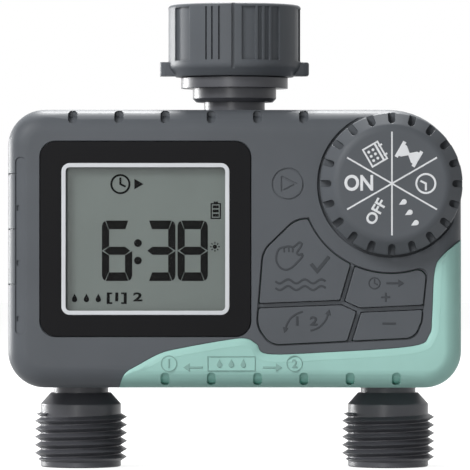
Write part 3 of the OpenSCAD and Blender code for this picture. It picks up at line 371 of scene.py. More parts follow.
def rod(name, radius, near, far, x=0.0, z=0.0, steps=ROUND_STEPS):
    """A round bar along Y."""
    return start("cylinder", name, vertices=steps, radius=radius, depth=abs(far - near),
                 location=(x, (near + far) / 2, z), rotation=(RIGHT_ANGLE, 0, 0))


def post(name, radius, low, high, x=0.0):
    """A round bar along Z."""
    return start("cylinder", name, vertices=ROUND_STEPS, radius=radius, depth=high - low,
                 location=(x, 0, (low + high) / 2))


def revolve(name, profile, axis="Z", centre=(0, 0, 0), closed=False, steps=ROUND_STEPS):
    """Spins a line of (radius, place along the axis) pairs about the axis."""
    if axis == "Z":
        points = [(centre[0] + r, centre[1], a) for r, a in profile]
    else:
        points = [(centre[0] + r, a, centre[2]) for r, a in profile]
    piece = chain(name, points)
    if closed:
        ends = [Vector(points[0]), Vector(points[-1])]
        pick("VERT", lambda v: any((v.co - end).length < TINY for end in ends))
        bpy.ops.mesh.edge_face_add()
    pick("VERT")
    bpy.ops.mesh.spin(steps=steps, angle=FULL_TURN, center=centre,
                      axis=(0, 0, 1) if axis == "Z" else (0, 1, 0))
    return closed_up(piece)


def rounded(profile, *corners):
    """The profile with arcs in place of corners given as (index, radius, steps), the last one first."""
    for index, radius, steps in corners:
        before, corner, after = (Vector(profile[i]) for i in (index - 1, index, index + 1))
        a = (before - corner).normalized()
        b = (after - corner).normalized()
        half = a.angle(b) / 2
        reach = radius / math.tan(half)
        middle = corner + (a + b).normalized() * radius / math.sin(half)
        first = corner + a * reach - middle
        last = corner + b * reach - middle
        bend = [middle + first.slerp(last, i / steps).normalized() * radius for i in range(steps + 1)]
        profile = profile[:index] + [tuple(p) for p in bend] + profile[index + 1:]
    return profile


def modify(piece, kind, **settings):
    """Adds a modifier with its settings and applies it."""
    modifier = piece.modifiers.new(kind, kind)
    for name, value in settings.items():
        setattr(modifier, name, value)
    bpy.ops.object.modifier_apply(modifier=modifier.name)


def combine(piece, tool, operation="DIFFERENCE"):
    """Cuts, joins or intersects a piece with a tool, and removes the tool."""
    focus(piece)
    before = [v.co.copy() for v in piece.data.vertices]
    modify(piece, "BOOLEAN", operation=operation, solver="MANIFOLD", object=tool)
    if not piece.data.vertices or before == [v.co for v in piece.data.vertices]:
        raise RuntimeError(f"{tool.name} can't be combined with {piece.name}")
    bpy.data.objects.remove(tool)
    return piece


def join(name, pieces):
    clear_selection()
    for piece in pieces:
        piece.select_set(True)
    bpy.context.view_layer.objects.active = pieces[0]
    if len(pieces) > 1:
        bpy.ops.object.join()
    pieces[0].name = pieces[0].data.name = name
    return pieces[0]


def copied(piece, shift=(0, 0, 0), turn=0.0, axis="Z", centre=(0, 0, 0)):
    """A copy with its own mesh, turned about an axis through the centre and then moved."""
    focus(piece)
    bpy.ops.object.duplicate(linked=False)
    bpy.ops.transform.rotate(value=-turn, orient_axis=axis, center_override=centre)
    bpy.ops.transform.translate(value=shift)
    settle()
    return bpy.context.object


def tidy_faces(piece):
    """Joins flat neighbours and drops slivers that the cuts left."""
    with shaping(piece):
        pick("FACE")
        bpy.ops.mesh.dissolve_limited(angle_limit=FLAT)
        pick("VERT")
        bpy.ops.mesh.dissolve_degenerate(threshold=TINY * 10)


def finish(piece, body, material, replaced=(), flats=False):
    """Shades a piece, gives it its material and ties it to its CAD body."""
    focus(piece)
    bpy.ops.object.shade_smooth_by_angle(angle=SMOOTH)
    if flats:
        modify(piece, "WEIGHTED_NORMAL", keep_sharp=True)
    piece.data.materials.clear()
    piece.data.materials.append(finishes()[material])
    if replaced:
        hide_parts(*replaced)
    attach(piece, body)
    return piece


def grown(points, distance):
    """An outline given clockwise as (x, z) pairs, moved outwards."""
    moved = []
    for i, point in enumerate(points):
        before = (Vector(point) - Vector(points[i - 1])).normalized()
        after = (Vector(points[(i + 1) % len(points)]) - Vector(point)).normalized()
        out_before = Vector((-before.y, before.x))
        out_after = Vector((-after.y, after.x))
        middle = (out_before + out_after).normalized()
        moved.append(tuple(Vector(point) + middle * distance / middle.dot(out_before)))
    return moved


def smooth_line(points, steps=6):
    """A smooth line through the points."""
    line = []
    last = len(points) - 1
    for i in range(last):
        a, b, c, d = (Vector(points[min(max(k, 0), last)]) for k in (i - 1, i, i + 1, i + 2))
        for k in range(steps):
            t = k / steps
            line.append(tuple(0.5 * (2 * b + (c - a) * t + (2 * a - 5 * b + 4 * c - d) * t ** 2
                                     + (3 * b - a - 3 * c + d) * t ** 3)))
    return line + [tuple(points[last])]


# ---- flat marks ----


def circle(radius, x=0.0, z=0.0, steps=24):
    """Points round a circle, clockwise."""
    turns = [FULL_TURN * i / steps for i in range(steps)]
    return [(x + radius * math.sin(turn), z + radius * math.cos(turn)) for turn in turns]


def arc(radius, first, last, x=0.0, z=0.0, steps=12):
    """Points along an arc between two angles in degrees, from the right and to the left."""
    turns = [math.radians(first + (last - first) * i / steps) for i in range(steps + 1)]
    return [(x + radius * math.cos(turn), z + radius * math.sin(turn)) for turn in turns]


def stroke(points, width):
    """The outline of a line of one width drawn along the points."""
    sides = ([], [])
    last = len(points) - 1
    for i, point in enumerate(points):
        k, m = max(i, 1), min(i + 1, last)
        before = (Vector(points[k]) - Vector(points[k - 1])).normalized()
        after = (Vector(points[m]) - Vector(points[m - 1])).normalized()
        middle = (before + after).normalized()
        reach = Vector((-middle.y, middle.x)) * width / 2 / max(middle.dot(after), 0.4)
        for side, sign in zip(sides, (1, -1)):
            side.append(tuple(Vector(point) + sign * reach))
    return sides[0] + sides[1][::-1]


def rectangle(half, low, high):
    """The corners of a rectangle, clockwise from the upper left."""
    return [(-half, high), (half, high), (half, low), (-half, low)]


# Each of these gives an outline and the outline of its hole, if there is one


def solid(*points):
    return points, None


def line(width, *points):
    return stroke(points, width), None


def loop(width, points):
    """A closed line of one width; its points run clockwise."""
    return grown(points, width / 2), grown(points, -width / 2)


def hoop(radius, width):
    return circle(radius, steps=28), circle(radius - width, steps=28)


def drop_mark(size, x):
    return solid((x, 2.1 * size), *arc(1.25 * size, 28, -208, x, -0.6 * size))


def bent_arrow(side):
    """A bent arrow over the middle, or the same one turned over under it."""
    bend = [(side * x, side * z) for x, z in arc(6.2, 168, 100, 0, -3.4, 8)]
    tip = [tuple(Vector(bend[0]) + side * Vector(v)) for v in ((-0.8, 0.5), (0.85, 0.1), (-0.35, -1.3))]
    return [line(0.5, *bend), solid(*tip)]


# Signs in millimetres, drawn round their own middles
CLOCK = [hoop(2.3, 0.45), line(0.45, (0, 1.5), (0, 0), (1.2, -0.6))]
HOURGLASS = [solid(*rectangle(2.0, side * 1.8, side * 2.6)) for side in (1, -1)]
HOURGLASS += [solid((-1.5, 2.0), (1.5, 2.0), (1.4, 1.3), (0.3, 0.0), (1.4, -1.3), (1.5, -2.0),
                    (-1.5, -2.0), (-1.4, -1.3), (-0.3, 0.0), (-1.4, 1.3))]
CALENDAR = [loop(0.4, rectangle(2.2, -1.9, 1.9)), line(0.5, (-2.2, 1.1), (2.2, 1.1))]
CALENDAR += [line(0.45, (x, 2.5), (x, 1.6)) for x in (-1.2, 1.2)]
CALENDAR += [solid(*circle(0.35, x, z, 8)) for x in (-1.1, 0, 1.1) for z in (0.1, -1.0)]
CHECK = [line(0.62, (-1.5, 0.2), (-0.4, -1.1), (1.7, 1.5))]
START = [solid((-1.1, 1.5), (1.5, 0), (-1.1, -1.5))]
BATTERY = [loop(0.35, rectangle(1.3, -2.2, 2.0)), solid(*rectangle(0.6, 2.1, 2.6))]
BATTERY += [solid(*rectangle(0.85, z - 0.4, z + 0.4)) for z in (1.1, -0.1, -1.3)]
SUN = [solid(*circle(0.6, steps=16))]
SUN += [line(0.3, *[(r * math.cos(math.pi * i / 4), r * math.sin(math.pi * i / 4)) for r in (0.9, 1.4)])
        for i in range(8)]
DROPS = [drop_mark(0.62, x) for x in (-3.4, 0, 3.4)]
WAVES = [line(0.62, *[(x / 4, 0.6 * math.sin(x * math.pi / 10) + z) for x in range(-30, 31)])
         for z in (1.0, -1.0)]
ARROW = [line(0.5, (-2.1, 0), (1.5, 0)), solid((1.0, 1.0), (2.5, 0), (1.0, -1.0))]
PLUS = [line(0.55, (-1.4, 0), (1.4, 0)), line(0.55, (0, 1.45), (0, -1.45))]
MINUS = [line(0.55, (-1.9, 0), (1.9, 0))]
PALM = [(-1.7, 2.6), (-0.2, 2.9), (1.0, 2.7), (1.6, 3.1), (2.6, 3.9), (3.3, 3.6), (2.9, 2.6), (2.0, 1.2),
        (2.6, 0.6), (3.3, 0.9), (3.4, 0.1), (2.2, -1.2), (0.8, -2.6), (-0.8, -3.3), (-2.4, -2.7),
        (-3.4, -1.0), (-3.3, 0.9), (-2.7, 2.2), (-1.7, 2.6)]
HAND = [loop(0.5, smooth_line(PALM, 3)[:-1])]
HAND += [line(0.4, top, foot) for top, foot in (((-1.4, 2.4), (-1.3, 1.3)), ((-0.2, 2.6), (-0.1, 1.4)),
                                                ((0.9, 2.4), (0.9, 1.3)))]
ROUND_ARROWS = bent_arrow(1) + bent_arrow(-1)


def figure(name, shapes, centre, near, far, turn=0.0, size=1.0):
    """Flat marks drawn in millimetres, turned to the left by an angle in degrees."""
    cos, sin = math.cos(math.radians(turn)) * size * MM, math.sin(math.radians(turn)) * size * MM

    def placed(points):
        return [(centre[0] + x * cos - z * sin, centre[1] + x * sin + z * cos) for x, z in points]

    marks = None
    for outline, hole in shapes:
        mark = prism(name, placed(outline), near, far)
        if hole:
            combine(mark, prism("Hole", placed(hole), near + OVER, far - OVER))
        marks = combine(marks, mark, "UNION") if marks else mark
    return marks


def figures(signs, near, far):
    """A piece for each sign in a list of (shapes, x, z, size)."""
    return [figure("Sign", shapes, (x * MM, z * MM), near, far, size=size) for shapes, x, z, size in signs]


def lettering(name, text, centre, width, height, near, far, turn=0.0):
    """Raised letters or digits that fill a width and a height."""
    clear_selection()
    bpy.ops.object.text_add()
    words = bpy.context.object
    words.data.body = text
    words.data.extrude = 0.5
    words.data.offset = 0.03
    words.data.resolution_u = 5
    bpy.ops.object.convert(target="MESH")
    piece = bpy.context.object
    low, high = Vector(piece.bound_box[0]), Vector(piece.bound_box[6])
    bpy.ops.transform.translate(value=-(low + high) / 2)
    settle()
    size = high - low
    piece.scale = (width / size.x, height / size.y, abs(far - near) / size.z)
    piece.rotation_euler = (RIGHT_ANGLE, -math.radians(turn), 0)
    piece.location = (centre[0], (near + far) / 2, centre[1])
    piece.name = piece.data.name = name
    settle()
    with shaping(piece):
        face_out()
    return piece


# Lit bars of each digit: a on top, then clockwise, and g in the middle
SEGMENTS = {"3": "abcdg", "6": "acdefg", "8": "abcdefg"}


def digit_bars(digit, width, height, across, up, gap=0.17, cut=0.95):
    """Outlines of the lit bars of one seven-bar digit, with its outer corners cut round."""
    a, b = width / 2, height / 2
    inner = a - across
    half = up / 2 - gap / 2
    top = [(-a + cut + gap, b), (a - cut - gap, b), (inner + gap / 2, b - up), (-inner - gap / 2, b - up)]
    upper = [(-a, b - 1.6 * cut), (-a, gap / 2), (-inner, up / 2 + gap / 2), (-inner, b - up - gap / 2),
             (-inner - 1.2 * gap, b - up), (-a + cut - 0.3 * gap, b - 0.1 * cut),
             (-a + 0.35 * cut, b - 0.6 * cut)]
    middle = [(-a + 0.6, 0), (-inner, half), (inner, half), (a - 0.6, 0), (inner, -half), (-inner, -half)]
    bars = {"a": (top, 1, 1), "b": (upper, -1, 1), "c": (upper, -1, -1), "d": (top, 1, -1),
            "e": (upper, 1, -1), "f": (upper, 1, 1), "g": (middle, 1, 1)}
    return [[(x * right, z * rise) for x, z in shape]
            for shape, right, rise in (bars[bar] for bar in SEGMENTS[digit])]


# ---- finishes ----


GRAIN_HEIGHT = 0.05 * MM


def new_group(name, inputs):
    """A shader node group with named inputs that puts out a colour, a roughness and a normal."""
    group = bpy.data.node_groups.new(name, "ShaderNodeTree")
    for socket, (kind, value) in inputs.items():
        made = group.interface.new_socket(name=socket, in_out="INPUT", socket_type=f"NodeSocket{kind}")
        made.default_value = value
    for socket, kind in (("Color", "Color"), ("Roughness", "Float"), ("Normal", "Vector")):
        group.interface.new_socket(name=socket, in_out="OUTPUT", socket_type=f"NodeSocket{kind}")
    return group, group.nodes.new("NodeGroupInput").outputs, group.nodes.new("NodeGroupOutput")


def node(tree, kind, inputs=(), **settings):
    """Adds a node; each input holds a value or is linked to a socket."""
    made = tree.nodes.new(kind)
    for name, value in settings.items():
        setattr(made, name, value)
    for name, value in dict(inputs).items():
        if isinstance(value, bpy.types.NodeSocket):
            tree.links.new(value, made.inputs[name])
        else:
            made.inputs[name].default_value = value
    return made


def ranged(tree, value, from_low, from_high, to_low, to_high):
    """A value moved from one range into another."""
    return node(tree, "ShaderNodeMapRange", {"Value": value, "From Min": from_low, "From Max": from_high,
                                             "To Min": to_low, "To Max": to_high}).outputs[0]


def calculated(tree, operation, *inputs):
    """The result of one sum on sockets and numbers."""
    return node(tree, "ShaderNodeMath", enumerate(inputs), operation=operation).outputs[0]


def close_group(group, out, colour, level, gloss, bump):
    """Feeds a group's outputs from a colour and its level, a gloss and a bump."""
    tinted = node(group, "ShaderNodeVectorMath", {0: colour, "Scale": level}, operation="SCALE").outputs[0]
    bumped = node(group, "ShaderNodeBump", {**bump, "Distance": GRAIN_HEIGHT}).outputs[0]
    for name, socket in (("Color", tinted), ("Roughness", gloss), ("Normal", bumped)):
        group.links.new(socket, out.inputs[name])
    return group


def moulded_group():
    """Moulded plastic or rubber: soft edges with a painted highlight along them, fine grain, and colour and
    gloss that vary a little.
    """
    group, given, out = new_group("Moulded Surface", {
        "Color": ("Color", (0.1, 0.1, 0.1, 1)), "Variation": ("Float", 0.05),
        "Grain Scale": ("Float", 2600.0), "Grain": ("Float", 0.12), "Roughness": ("Float", 0.45),
        "Edge Highlight": ("Float", 0.1)})
    place = node(group, "ShaderNodeTexCoord").outputs["Object"]
    broad = node(group, "ShaderNodeTexNoise", {"Vector": place, "Scale": 55.0, "Detail": 3.0}).outputs[0]
    fine = node(group, "ShaderNodeTexNoise",
                {"Vector": place, "Scale": given["Grain Scale"], "Detail": 2.0}).outputs[0]
    soft_normal = node(group, "ShaderNodeBevel", {"Radius": 0.25 * MM}, samples=4).outputs[0]
    true_normal = node(group, "ShaderNodeNewGeometry").outputs["Normal"]
    flatness = node(group, "ShaderNodeVectorMath", {0: soft_normal, 1: true_normal},
                    operation="DOT_PRODUCT").outputs["Value"]
    # Painted highlight: the colour is made lighter along rounded edges, where the bevel normal parts from the
    # true normal
    painted_edge_highlight = calculated(group, "MULTIPLY", ranged(group, flatness, 1.0, 0.85, 0.0, 1.0), given["Edge Highlight"])
    tone = calculated(group, "MULTIPLY_ADD", ranged(group, broad, 0.3, 0.7, -1.0, 1.0), given["Variation"],
                      painted_edge_highlight)
    return close_group(group, out, given["Color"], calculated(group, "ADD", tone, 1.0),
                       calculated(group, "MULTIPLY_ADD", fine, 0.08, given["Roughness"]),
                       {"Height": fine, "Strength": given["Grain"], "Normal": soft_normal})


def brushed_group():
    """Metal with fine scratches drawn out along one axis."""
    group, given, out = new_group("Fine Scratches", {
        "Color": ("Color", (0.5, 0.5, 0.5, 1)), "Stretch": ("Vector", (400, 400, 4000)),
        "Roughness": ("Float", 0.3), "Depth": ("Float", 0.2)})
    place = node(group, "ShaderNodeTexCoord").outputs["Object"]
    drawn = node(group, "ShaderNodeVectorMath", {0: place, 1: given["Stretch"]},
                 operation="MULTIPLY").outputs[0]
    lines = node(group, "ShaderNodeTexNoise", {"Vector": drawn, "Scale": 1.0, "Detail": 3.0}).outputs[0]
    return close_group(group, out, given["Color"], ranged(group, lines, 0.0, 1.0, 0.8, 1.2),
                       calculated(group, "MULTIPLY_ADD", lines, 0.2, given["Roughness"]),
                       {"Height": lines, "Strength": given["Depth"]})


def surface(name, group, tint, settings, **shader_values):
    """A material whose colour, gloss and normal come from a node group."""
    material = bpy.data.materials.new(name)
    material.use_nodes = True
    tree = material.node_tree
    shader = tree.nodes["Principled BSDF"]
    effect = node(tree, "ShaderNodeGroup", {"Color": (*tint, 1), **settings}, node_tree=group)
    for source, target in (("Color", "Base Color"), ("Roughness", "Roughness"), ("Normal", "Normal")):
        tree.links.new(effect.outputs[source], shader.inputs[target])
    for socket, value in shader_values.items():
        shader.inputs[socket.replace("_", " ")].default_value = value
    return material


_finishes = {}


def finishes():
    """Every material by name, made once."""
    if _finishes:
        return _finishes
    looks = bpy.context.scene.timer_finish
    moulded = moulded_group()
    brushed = brushed_group()

    # edge sets the strength of the painted highlight along rounded edges
    def plastic(name, tint, roughness=0.45, grain=looks.grain, edge=0.12, scale=2600.0,
                variation=looks.variation, **values):
        _finishes[name] = surface(name.replace("_", " ").capitalize(), moulded, tint, {
            "Variation": variation, "Grain Scale": scale, "Grain": grain, "Roughness": roughness,
            "Edge Highlight": edge}, **values)

    def metal(name, tint, roughness=0.25, stretch=(300, 300, 3000)):
        _finishes[name] = surface(name.replace("_", " ").capitalize(), brushed, tint, {
            "Stretch": stretch, "Roughness": roughness, "Depth": 0.3}, Metallic=1.0)

    plastic("housing_plastic", looks.case, 0.45, edge=0.18, Specular_IOR_Level=0.25)
    plastic("pipe_plastic", looks.pipe, 0.33, grain=0.06, edge=0.2, Specular_IOR_Level=0.4)
    plastic("trim_rubber", looks.trim, 0.5, grain=0.2, edge=0.1, scale=1800.0, Specular_IOR_Level=0.3)
    plastic("black_border", looks.border, 0.45, grain=0.04, edge=0.1, Specular_IOR_Level=0.09)
    plastic("white_print", looks.print_white, 0.5, grain=0.02, edge=0.0)
    plastic("dial_print", linear(243, 245, 248), 0.5, grain=0.02, edge=0.0)
    # A darker copy of the housing colour for the raised key marks: painted shade
    plastic("painted_shade_mark_plastic", tuple(c * 0.62 for c in looks.case), 0.6, edge=0.0, Specular_IOR_Level=0.2)
    # A darker copy of the trim colour for the raised trim marks: painted shade
    plastic("painted_shade_trim_mark", tuple(c * 0.68 for c in looks.trim), 0.6, edge=0.0)
    plastic("lcd_glass", looks.glass, 0.35, grain=0.05, edge=0.0, scale=5200.0)
    plastic("lcd_ink", looks.ink, 0.6, grain=0.02, edge=0.0, Specular_IOR_Level=0.1)
    plastic("white_plastic", linear(226, 224, 216), 0.45)
    plastic("black_rubber", linear(38, 38, 40), 0.6, grain=0.25)
    plastic("pink_rubber", linear(196, 132, 138), 0.6, grain=0.25)
    plastic("silicone", linear(196, 198, 200), 0.55, grain=0.1)
    plastic("board", linear(26, 104, 66), 0.4, grain=0.2, scale=900.0)
    plastic("filter_plastic", linear(86, 134, 180), 0.35)
    plastic("cell_wrap", linear(176, 120, 46), 0.3, grain=0.03)
    metal("steel", (0.56, 0.56, 0.57))
    metal("brass_contact", (0.72, 0.52, 0.24))
    metal("copper_coil", (0.78, 0.36, 0.2), 0.3, (200, 6000, 200))
    plastic("clear_lens", (0.02, 0.02, 0.02), 0.03, grain=0.0, edge=0.0, scale=300.0, variation=0.0,
            Alpha=0.04, IOR=1.35)
    return _finishes


# ---- housing ----

# The keypad's field in millimetres, as (x, z) from its start
FIELD = [(6.05, -10.22), (12.45, -10.02), (43.35, -21.72), (42.85, -27.72), (41.65, -39.22), (39.75, -43.82),
         (-1.15, -45.82), (-4.95, -40.72), (-3.25, -19.22)]
FIELD_START = Vector((11.55 * MM, DIAL.z))
# Ends of the gaps between the keys in millimetres, as (x, z) over the housing's lower edge
GAPS = {"left": (0.0, 23.28), "mid_left": (30.6, 24.48), "mid_right": (35.6, 22.28), "right": (60.0, 23.38),
        "up": (38.2, 50.58), "down": (31.6, 9.58)}
GAP_LINES = [("left", "mid_left"), ("mid_left", "mid_right"), ("mid_right", "right"), ("mid_left", "up"),
             ("mid_right", "down")]
# The trim's inner edge in millimetres, as (x, z) over the housing's lower edge
TRIM_EDGE = [(-33.6, -3.4), (-32.6, 1.2), (-31.0, 4.4), (-27.5, 6.58), (-21.0, 9.98), (-14.5, 11.58),
             (-2.0, 13.78), (3.2, 14.18), (6.3, 12.58), (9.4, 9.78), (25.0, 10.18), (50.6, 11.98),
             (55.6, 15.18), (56.4, 20.58), (57.1, 33.08), (59.3, 37.78), (66.0, 43.18)]
TRIM_OUT = 7.1 * MM
TRIM_BACK = -5.0 * MM
NOTCHES = 6
NOTCH_LAND = 1.6 * MM
NOTCH_LOW = 3.95 * MM
NOTCH_HIGH = 0.35 * MM
# Recesses of the finger strip in millimetres: x from the left edge, drop below the top, width, height,
# corner and depth
GRIPS = [(1.4, drop, 3.0, 0.35, 0.1, 0.5) for drop in (18.4, 34.2, 50.0)]
GRIPS += [(3.1, drop, 0.8, 1.6, 0.35, 0.75) for drop in (28.2, 43.9, 59.8)]
GRIP_LAND = 0.8 * MM
DIAL_RADIUS = 20.25 * MM
HUB_R = 5 * MM
RECESS_FLOOR = FACE + 1.6 * MM
RECESS_GAP = 0.75 * MM
PIPE_HOLE = 6 * MM
NECK_R = 9.05 * MM
OUTLET_NECK_R = 8.2 * MM
POINTER = (DIAL.x - 29.3 * MM, DIAL.z)
POINTER_RING = 4.6 * MM
POINTER_LINE = 0.45 * MM
POINTER_ARROW = [(-2.0, -2.45), (-2.0, 2.45), (2.9, 0)]
SCREWS = [(-58.0, -37.78), (-22.0, -36.28), (22.0, -36.28), (57.0, -46.48), (-58.2, -103.48),
          (58.2, -103.48), (-24.0, -105.48), (24.0, -105.48)]
WELL_R = 3.2 * MM
WELL_START = 6.0 * MM
WELL_WALL = 1.4 * MM
BOSS_START = 4.6 * MM


def case_block(name, housing, inset, near, far, edge):
    """A solid with the housing's outline, moved in by inset, its rim rounded at the far depth."""
    half_w = (RIGHT - LEFT) / 2 - inset
    half_h = (TOP - BOTTOM) / 2 - inset
    block = start("plane", name, size=2, location=(CASE_MID.x, near, CASE_MID.z),
                  rotation=(RIGHT_ANGLE, 0, 0), scale=(half_w, half_h, 1))
    with shaping(block):
        pick("VERT", lambda v: v.co.x > CASE_MID.x and v.co.z > CASE_MID.z)
        bevel(housing.dial_corner - inset, CORNER_STEPS, "VERTICES")
        pick("VERT", lambda v: abs(abs(v.co.x - CASE_MID.x) - half_w) < TINY
             and abs(abs(v.co.z - CASE_MID.z) - half_h) < TINY)
        bevel(housing.corner - inset, CORNER_STEPS, "VERTICES")
        pick("FACE")
        push(y=far - near)
        face_out()
        pick("EDGE", at_depth(far))
        bevel(edge, EDGE_STEPS)
    return block


def core(housing, inset):
    """The inside of the housing's front half, inset under its surface all round."""
    return case_block("Core", housing, inset, OVER, FACE + inset, housing.front_edge - inset)


def engrave(piece, cutter, housing, depth):
    """Cuts the cutter's outline into a piece, to one depth under the rounded front."""
    combine(cutter, core(housing, depth))
    combine(piece, cutter)


def keypad_block(name, keypad, grow, near, far, gap=0.0):
    """The keypad's field between two depths; with a gap it is parted into the four keys."""
    points = [(FIELD_START.x + x * MM, FIELD_START.y + z * MM) for x, z in FIELD]
    block = prism(name, grown(points, grow), near, far)
    with shaping(block):
        pick("EDGE", along("Y"))
        bevel(keypad.corner, 6)
    reach, radius, slack = keypad.arc - grow, keypad.corner, 0.02 * MM
    combine(block, rod("Arc", reach, far - OVER, near + OVER, DIAL.x, DIAL.z, FINE_STEPS))
    # the corner between the arc and the right side
    (high_x, high_z), (low_x, low_z) = FIELD[2:4]
    side = FIELD_START.x + (high_x + low_x) / 2 * MM + grow
    top = DIAL.z - math.sqrt(reach ** 2 - (side - DIAL.x) ** 2)
    slant = (high_x - low_x) / (high_z - low_z)
    side += (top - radius - FIELD_START.y - (high_z + low_z) / 2 * MM) * slant
    aim = Vector((side - radius + slack - DIAL.x, 0))
    aim.y = -math.sqrt((reach + radius - slack) ** 2 - aim.x ** 2)
    hub = Vector((DIAL.x, DIAL.z)) + aim
    touch = Vector((DIAL.x, DIAL.z)) + aim.normalized() * reach
    corner = prism("Corner", [tuple(hub), (side + MM, hub.y), (side + MM, top + MM), tuple(touch)],
                   near + OVER, far - OVER)
    combine(corner, rod("Inner", radius, far - 2 * OVER, near + 2 * OVER, hub.x, hub.y, 24))
    combine(block, corner)
    if gap:
        ends = {key: Vector((x * MM, BOTTOM + z * MM)) for key, (x, z) in GAPS.items()}
        depth = abs(far - near) + 2 * OVER
        for first, second in GAP_LINES:
            run = ends[second] - ends[first]
            middle = (ends[second] + ends[first]) / 2
            combine(block, start("cube", "Gap", size=1, location=(middle.x, (near + far) / 2, middle.y),
                                 rotation=(0, -math.atan2(run.y, run.x), 0),
                                 scale=(run.length + gap / 2, depth, gap)))
    return block


def trim_outline(grow=0.0):
    points = smooth_line([(x * MM, BOTTOM + z * MM) for x, z in TRIM_EDGE])
    points += [(RIGHT + TRIM_OUT, points[-1][1]), (RIGHT + TRIM_OUT, BOTTOM - TRIM_OUT),
               (points[0][0], BOTTOM - TRIM_OUT)]
    return grown(points, grow) if grow else points


def notch(centre, low, high, width, near, far, radius):
    """A cutter for a notch in an edge, with rounded corners."""
    piece = plate("Notch", (centre, 0, (low + high) / 2), width, high - low, near, far)
    with shaping(piece):
        pick("EDGE", along("Y"))
        bevel(radius, 5)
    return piece


def pipe_holes(shell):
    """Cuts the holes for the inlet neck and the two outlets."""
    combine(shell, post("Hole", NECK_R, TOP - PIPE_HOLE, TOP + OVER))
    for side in (-1, 1):
        combine(shell, post("Hole", OUTLET_NECK_R, BOTTOM - OVER, BOTTOM + PIPE_HOLE, side * OUTLET_X))


def rim_edges(depth):
    """A test for sharp edges that lie at one depth."""
    flat = at_depth(depth)
    return lambda edge: flat(edge) and edge.calc_face_angle(0) > SHARP_RIM


def round_rims(piece, width, steps, *depths):
    with shaping(piece):
        for depth in depths:
            pick("EDGE", rim_edges(depth))
            bevel(width, steps)


class TIMER_OT_housing_front(Operator):
    """Model the front shell with its seats, pockets and notches"""
    bl_idname = "timer.housing_front"
    bl_label = "Front Shell"

    def execute(self, context):
        housing = context.scene.timer_housing
        keypad = context.scene.timer_keypad
        shell = case_block("housing_front", housing, 0, 0, FACE, housing.front_edge)
        # seats that follow the rounded edge
        seat = prism("Seat", trim_outline(SLACK), TRIM_BACK, FACE - OVER)
        engrave(shell, seat, housing, context.scene.timer_trim.thickness + SLACK)
        for i in range(NOTCHES):
            cutter = notch((i - 3.5) * housing.notch_pitch, TOP - NOTCH_LOW, TOP - NOTCH_HIGH,
                           housing.notch_width, FACE + housing.front_edge - NOTCH_LAND, FACE - OVER,
                           housing.notch_width * 0.42)
            engrave(shell, cutter, housing, housing.notch_depth)
        strip = (3.85, 39.0, 3.1, 50.8, 1.4, housing.grip_depth / MM)
        for x, drop, width, height, corner, depth in [strip, *GRIPS]:
            cutter = plate("Grip", (LEFT + x * MM, 0, TOP - drop * MM), width * MM, height * MM,
                           FACE + housing.front_edge - GRIP_LAND, FACE - OVER, corner * MM)
            engrave(shell, cutter, housing, depth * MM)
        combine(shell, core(housing, housing.wall))
        # dial recess with its bearing hole
        combine(shell, rod("Recess", DIAL_RADIUS + RECESS_GAP, RECESS_FLOOR, FACE - OVER, DIAL.x, DIAL.z,
                           FINE_STEPS))
        combine(shell, rod("Bearing", HUB_R + SLACK, OVER, FACE - OVER, DIAL.x, DIAL.z))
        # display pocket and its opening
        size = BORDER_HIGH - BORDER_LOW
        combine(shell, plate("Pocket", DISPLAY, size.x + 4 * SLACK, size.z + 4 * SLACK, LENS_LOW.y,
                             FACE - OVER, context.scene.timer_display.corner))
        lens = LENS_HIGH - LENS_LOW
        combine(shell, plate("Opening", DISPLAY, lens.x + 3 * SLACK, lens.z + 3 * SLACK, OVER,
                             LENS_LOW.y - OVER, 2 * MM))
        # keypad field with its key openings
        combine(shell, keypad_block("Field", keypad, 0.5 * MM, FACE + keypad.sink, FACE - OVER))
        combine(shell, keypad_block("Openings", keypad, keypad.clearance, OVER, FACE - OVER,
                                    keypad.gap - 2 * keypad.clearance))
        # pointer mark, cut as two thin lines
        ring = rod("Ring", POINTER_RING, FACE + 0.35 * MM, FACE - OVER, *POINTER)
        combine(ring, rod("Inner", POINTER_RING - POINTER_LINE, FACE + OVER, FACE - 2 * OVER, *POINTER))
        combine(shell, ring)
        corners = [(POINTER[0] + x * MM, POINTER[1] + z * MM) for x, z in POINTER_ARROW]
        arrow = prism("Arrow", corners, FACE + 0.3 * MM, FACE - OVER, 0.5 * MM, 3)
        combine(arrow, prism("Inner", grown(corners, -0.5 * MM), FACE + OVER, FACE - 2 * OVER, 0.3 * MM, 3))
        combine(shell, arrow)
        pipe_holes(shell)
        tidy_faces(shell)
        round_rims(shell, housing.rim, 2, FACE, PARTING)
        finish(shell, "housing", "housing_plastic", ["front_shell"], flats=True)
        return {"FINISHED"}


DOOR_THICKNESS = 2.2 * MM
DOOR_INNER = DOOR_HIGH.y - DOOR_THICKNESS
DOOR_MID = DOOR_HIGH.y - DOOR_THICKNESS / 2
HINGE_Z = DOOR_LOW.z + DOOR_THICKNESS / 2
DOOR_FOOT = 1.9 * MM
HINGE_HALF = 20 * MM
BOX_LOW, BOX_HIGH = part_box("battery_box")
BOX_MID = (BOX_LOW.z + BOX_HIGH.z) / 2
BOX_WALLS = 3.4 * MM
BOX_WIDTH = BOX_HIGH.x - BOX_LOW.x - BOX_WALLS
BOX_HEIGHT = BOX_HIGH.z - BOX_LOW.z - BOX_WALLS
SCOOP_R = 8 * MM
SCOOP_PLACE = (0, BACK + 6.4 * MM, DOOR_HIGH.z + 3 * MM)
# The door's grip lines: how many, the first one's drop, their pitch, width, height and depth
GRIP_LINES = (5, 6 * MM, 2 * MM, 18 * MM, 0.9 * MM, 0.4 * MM)


def finger_scoop():
    """A ball that hollows the housing and the door where a finger pulls."""
    return start("uv_sphere", "Scoop", segments=48, ring_count=24, radius=SCOOP_R, location=SCOOP_PLACE)


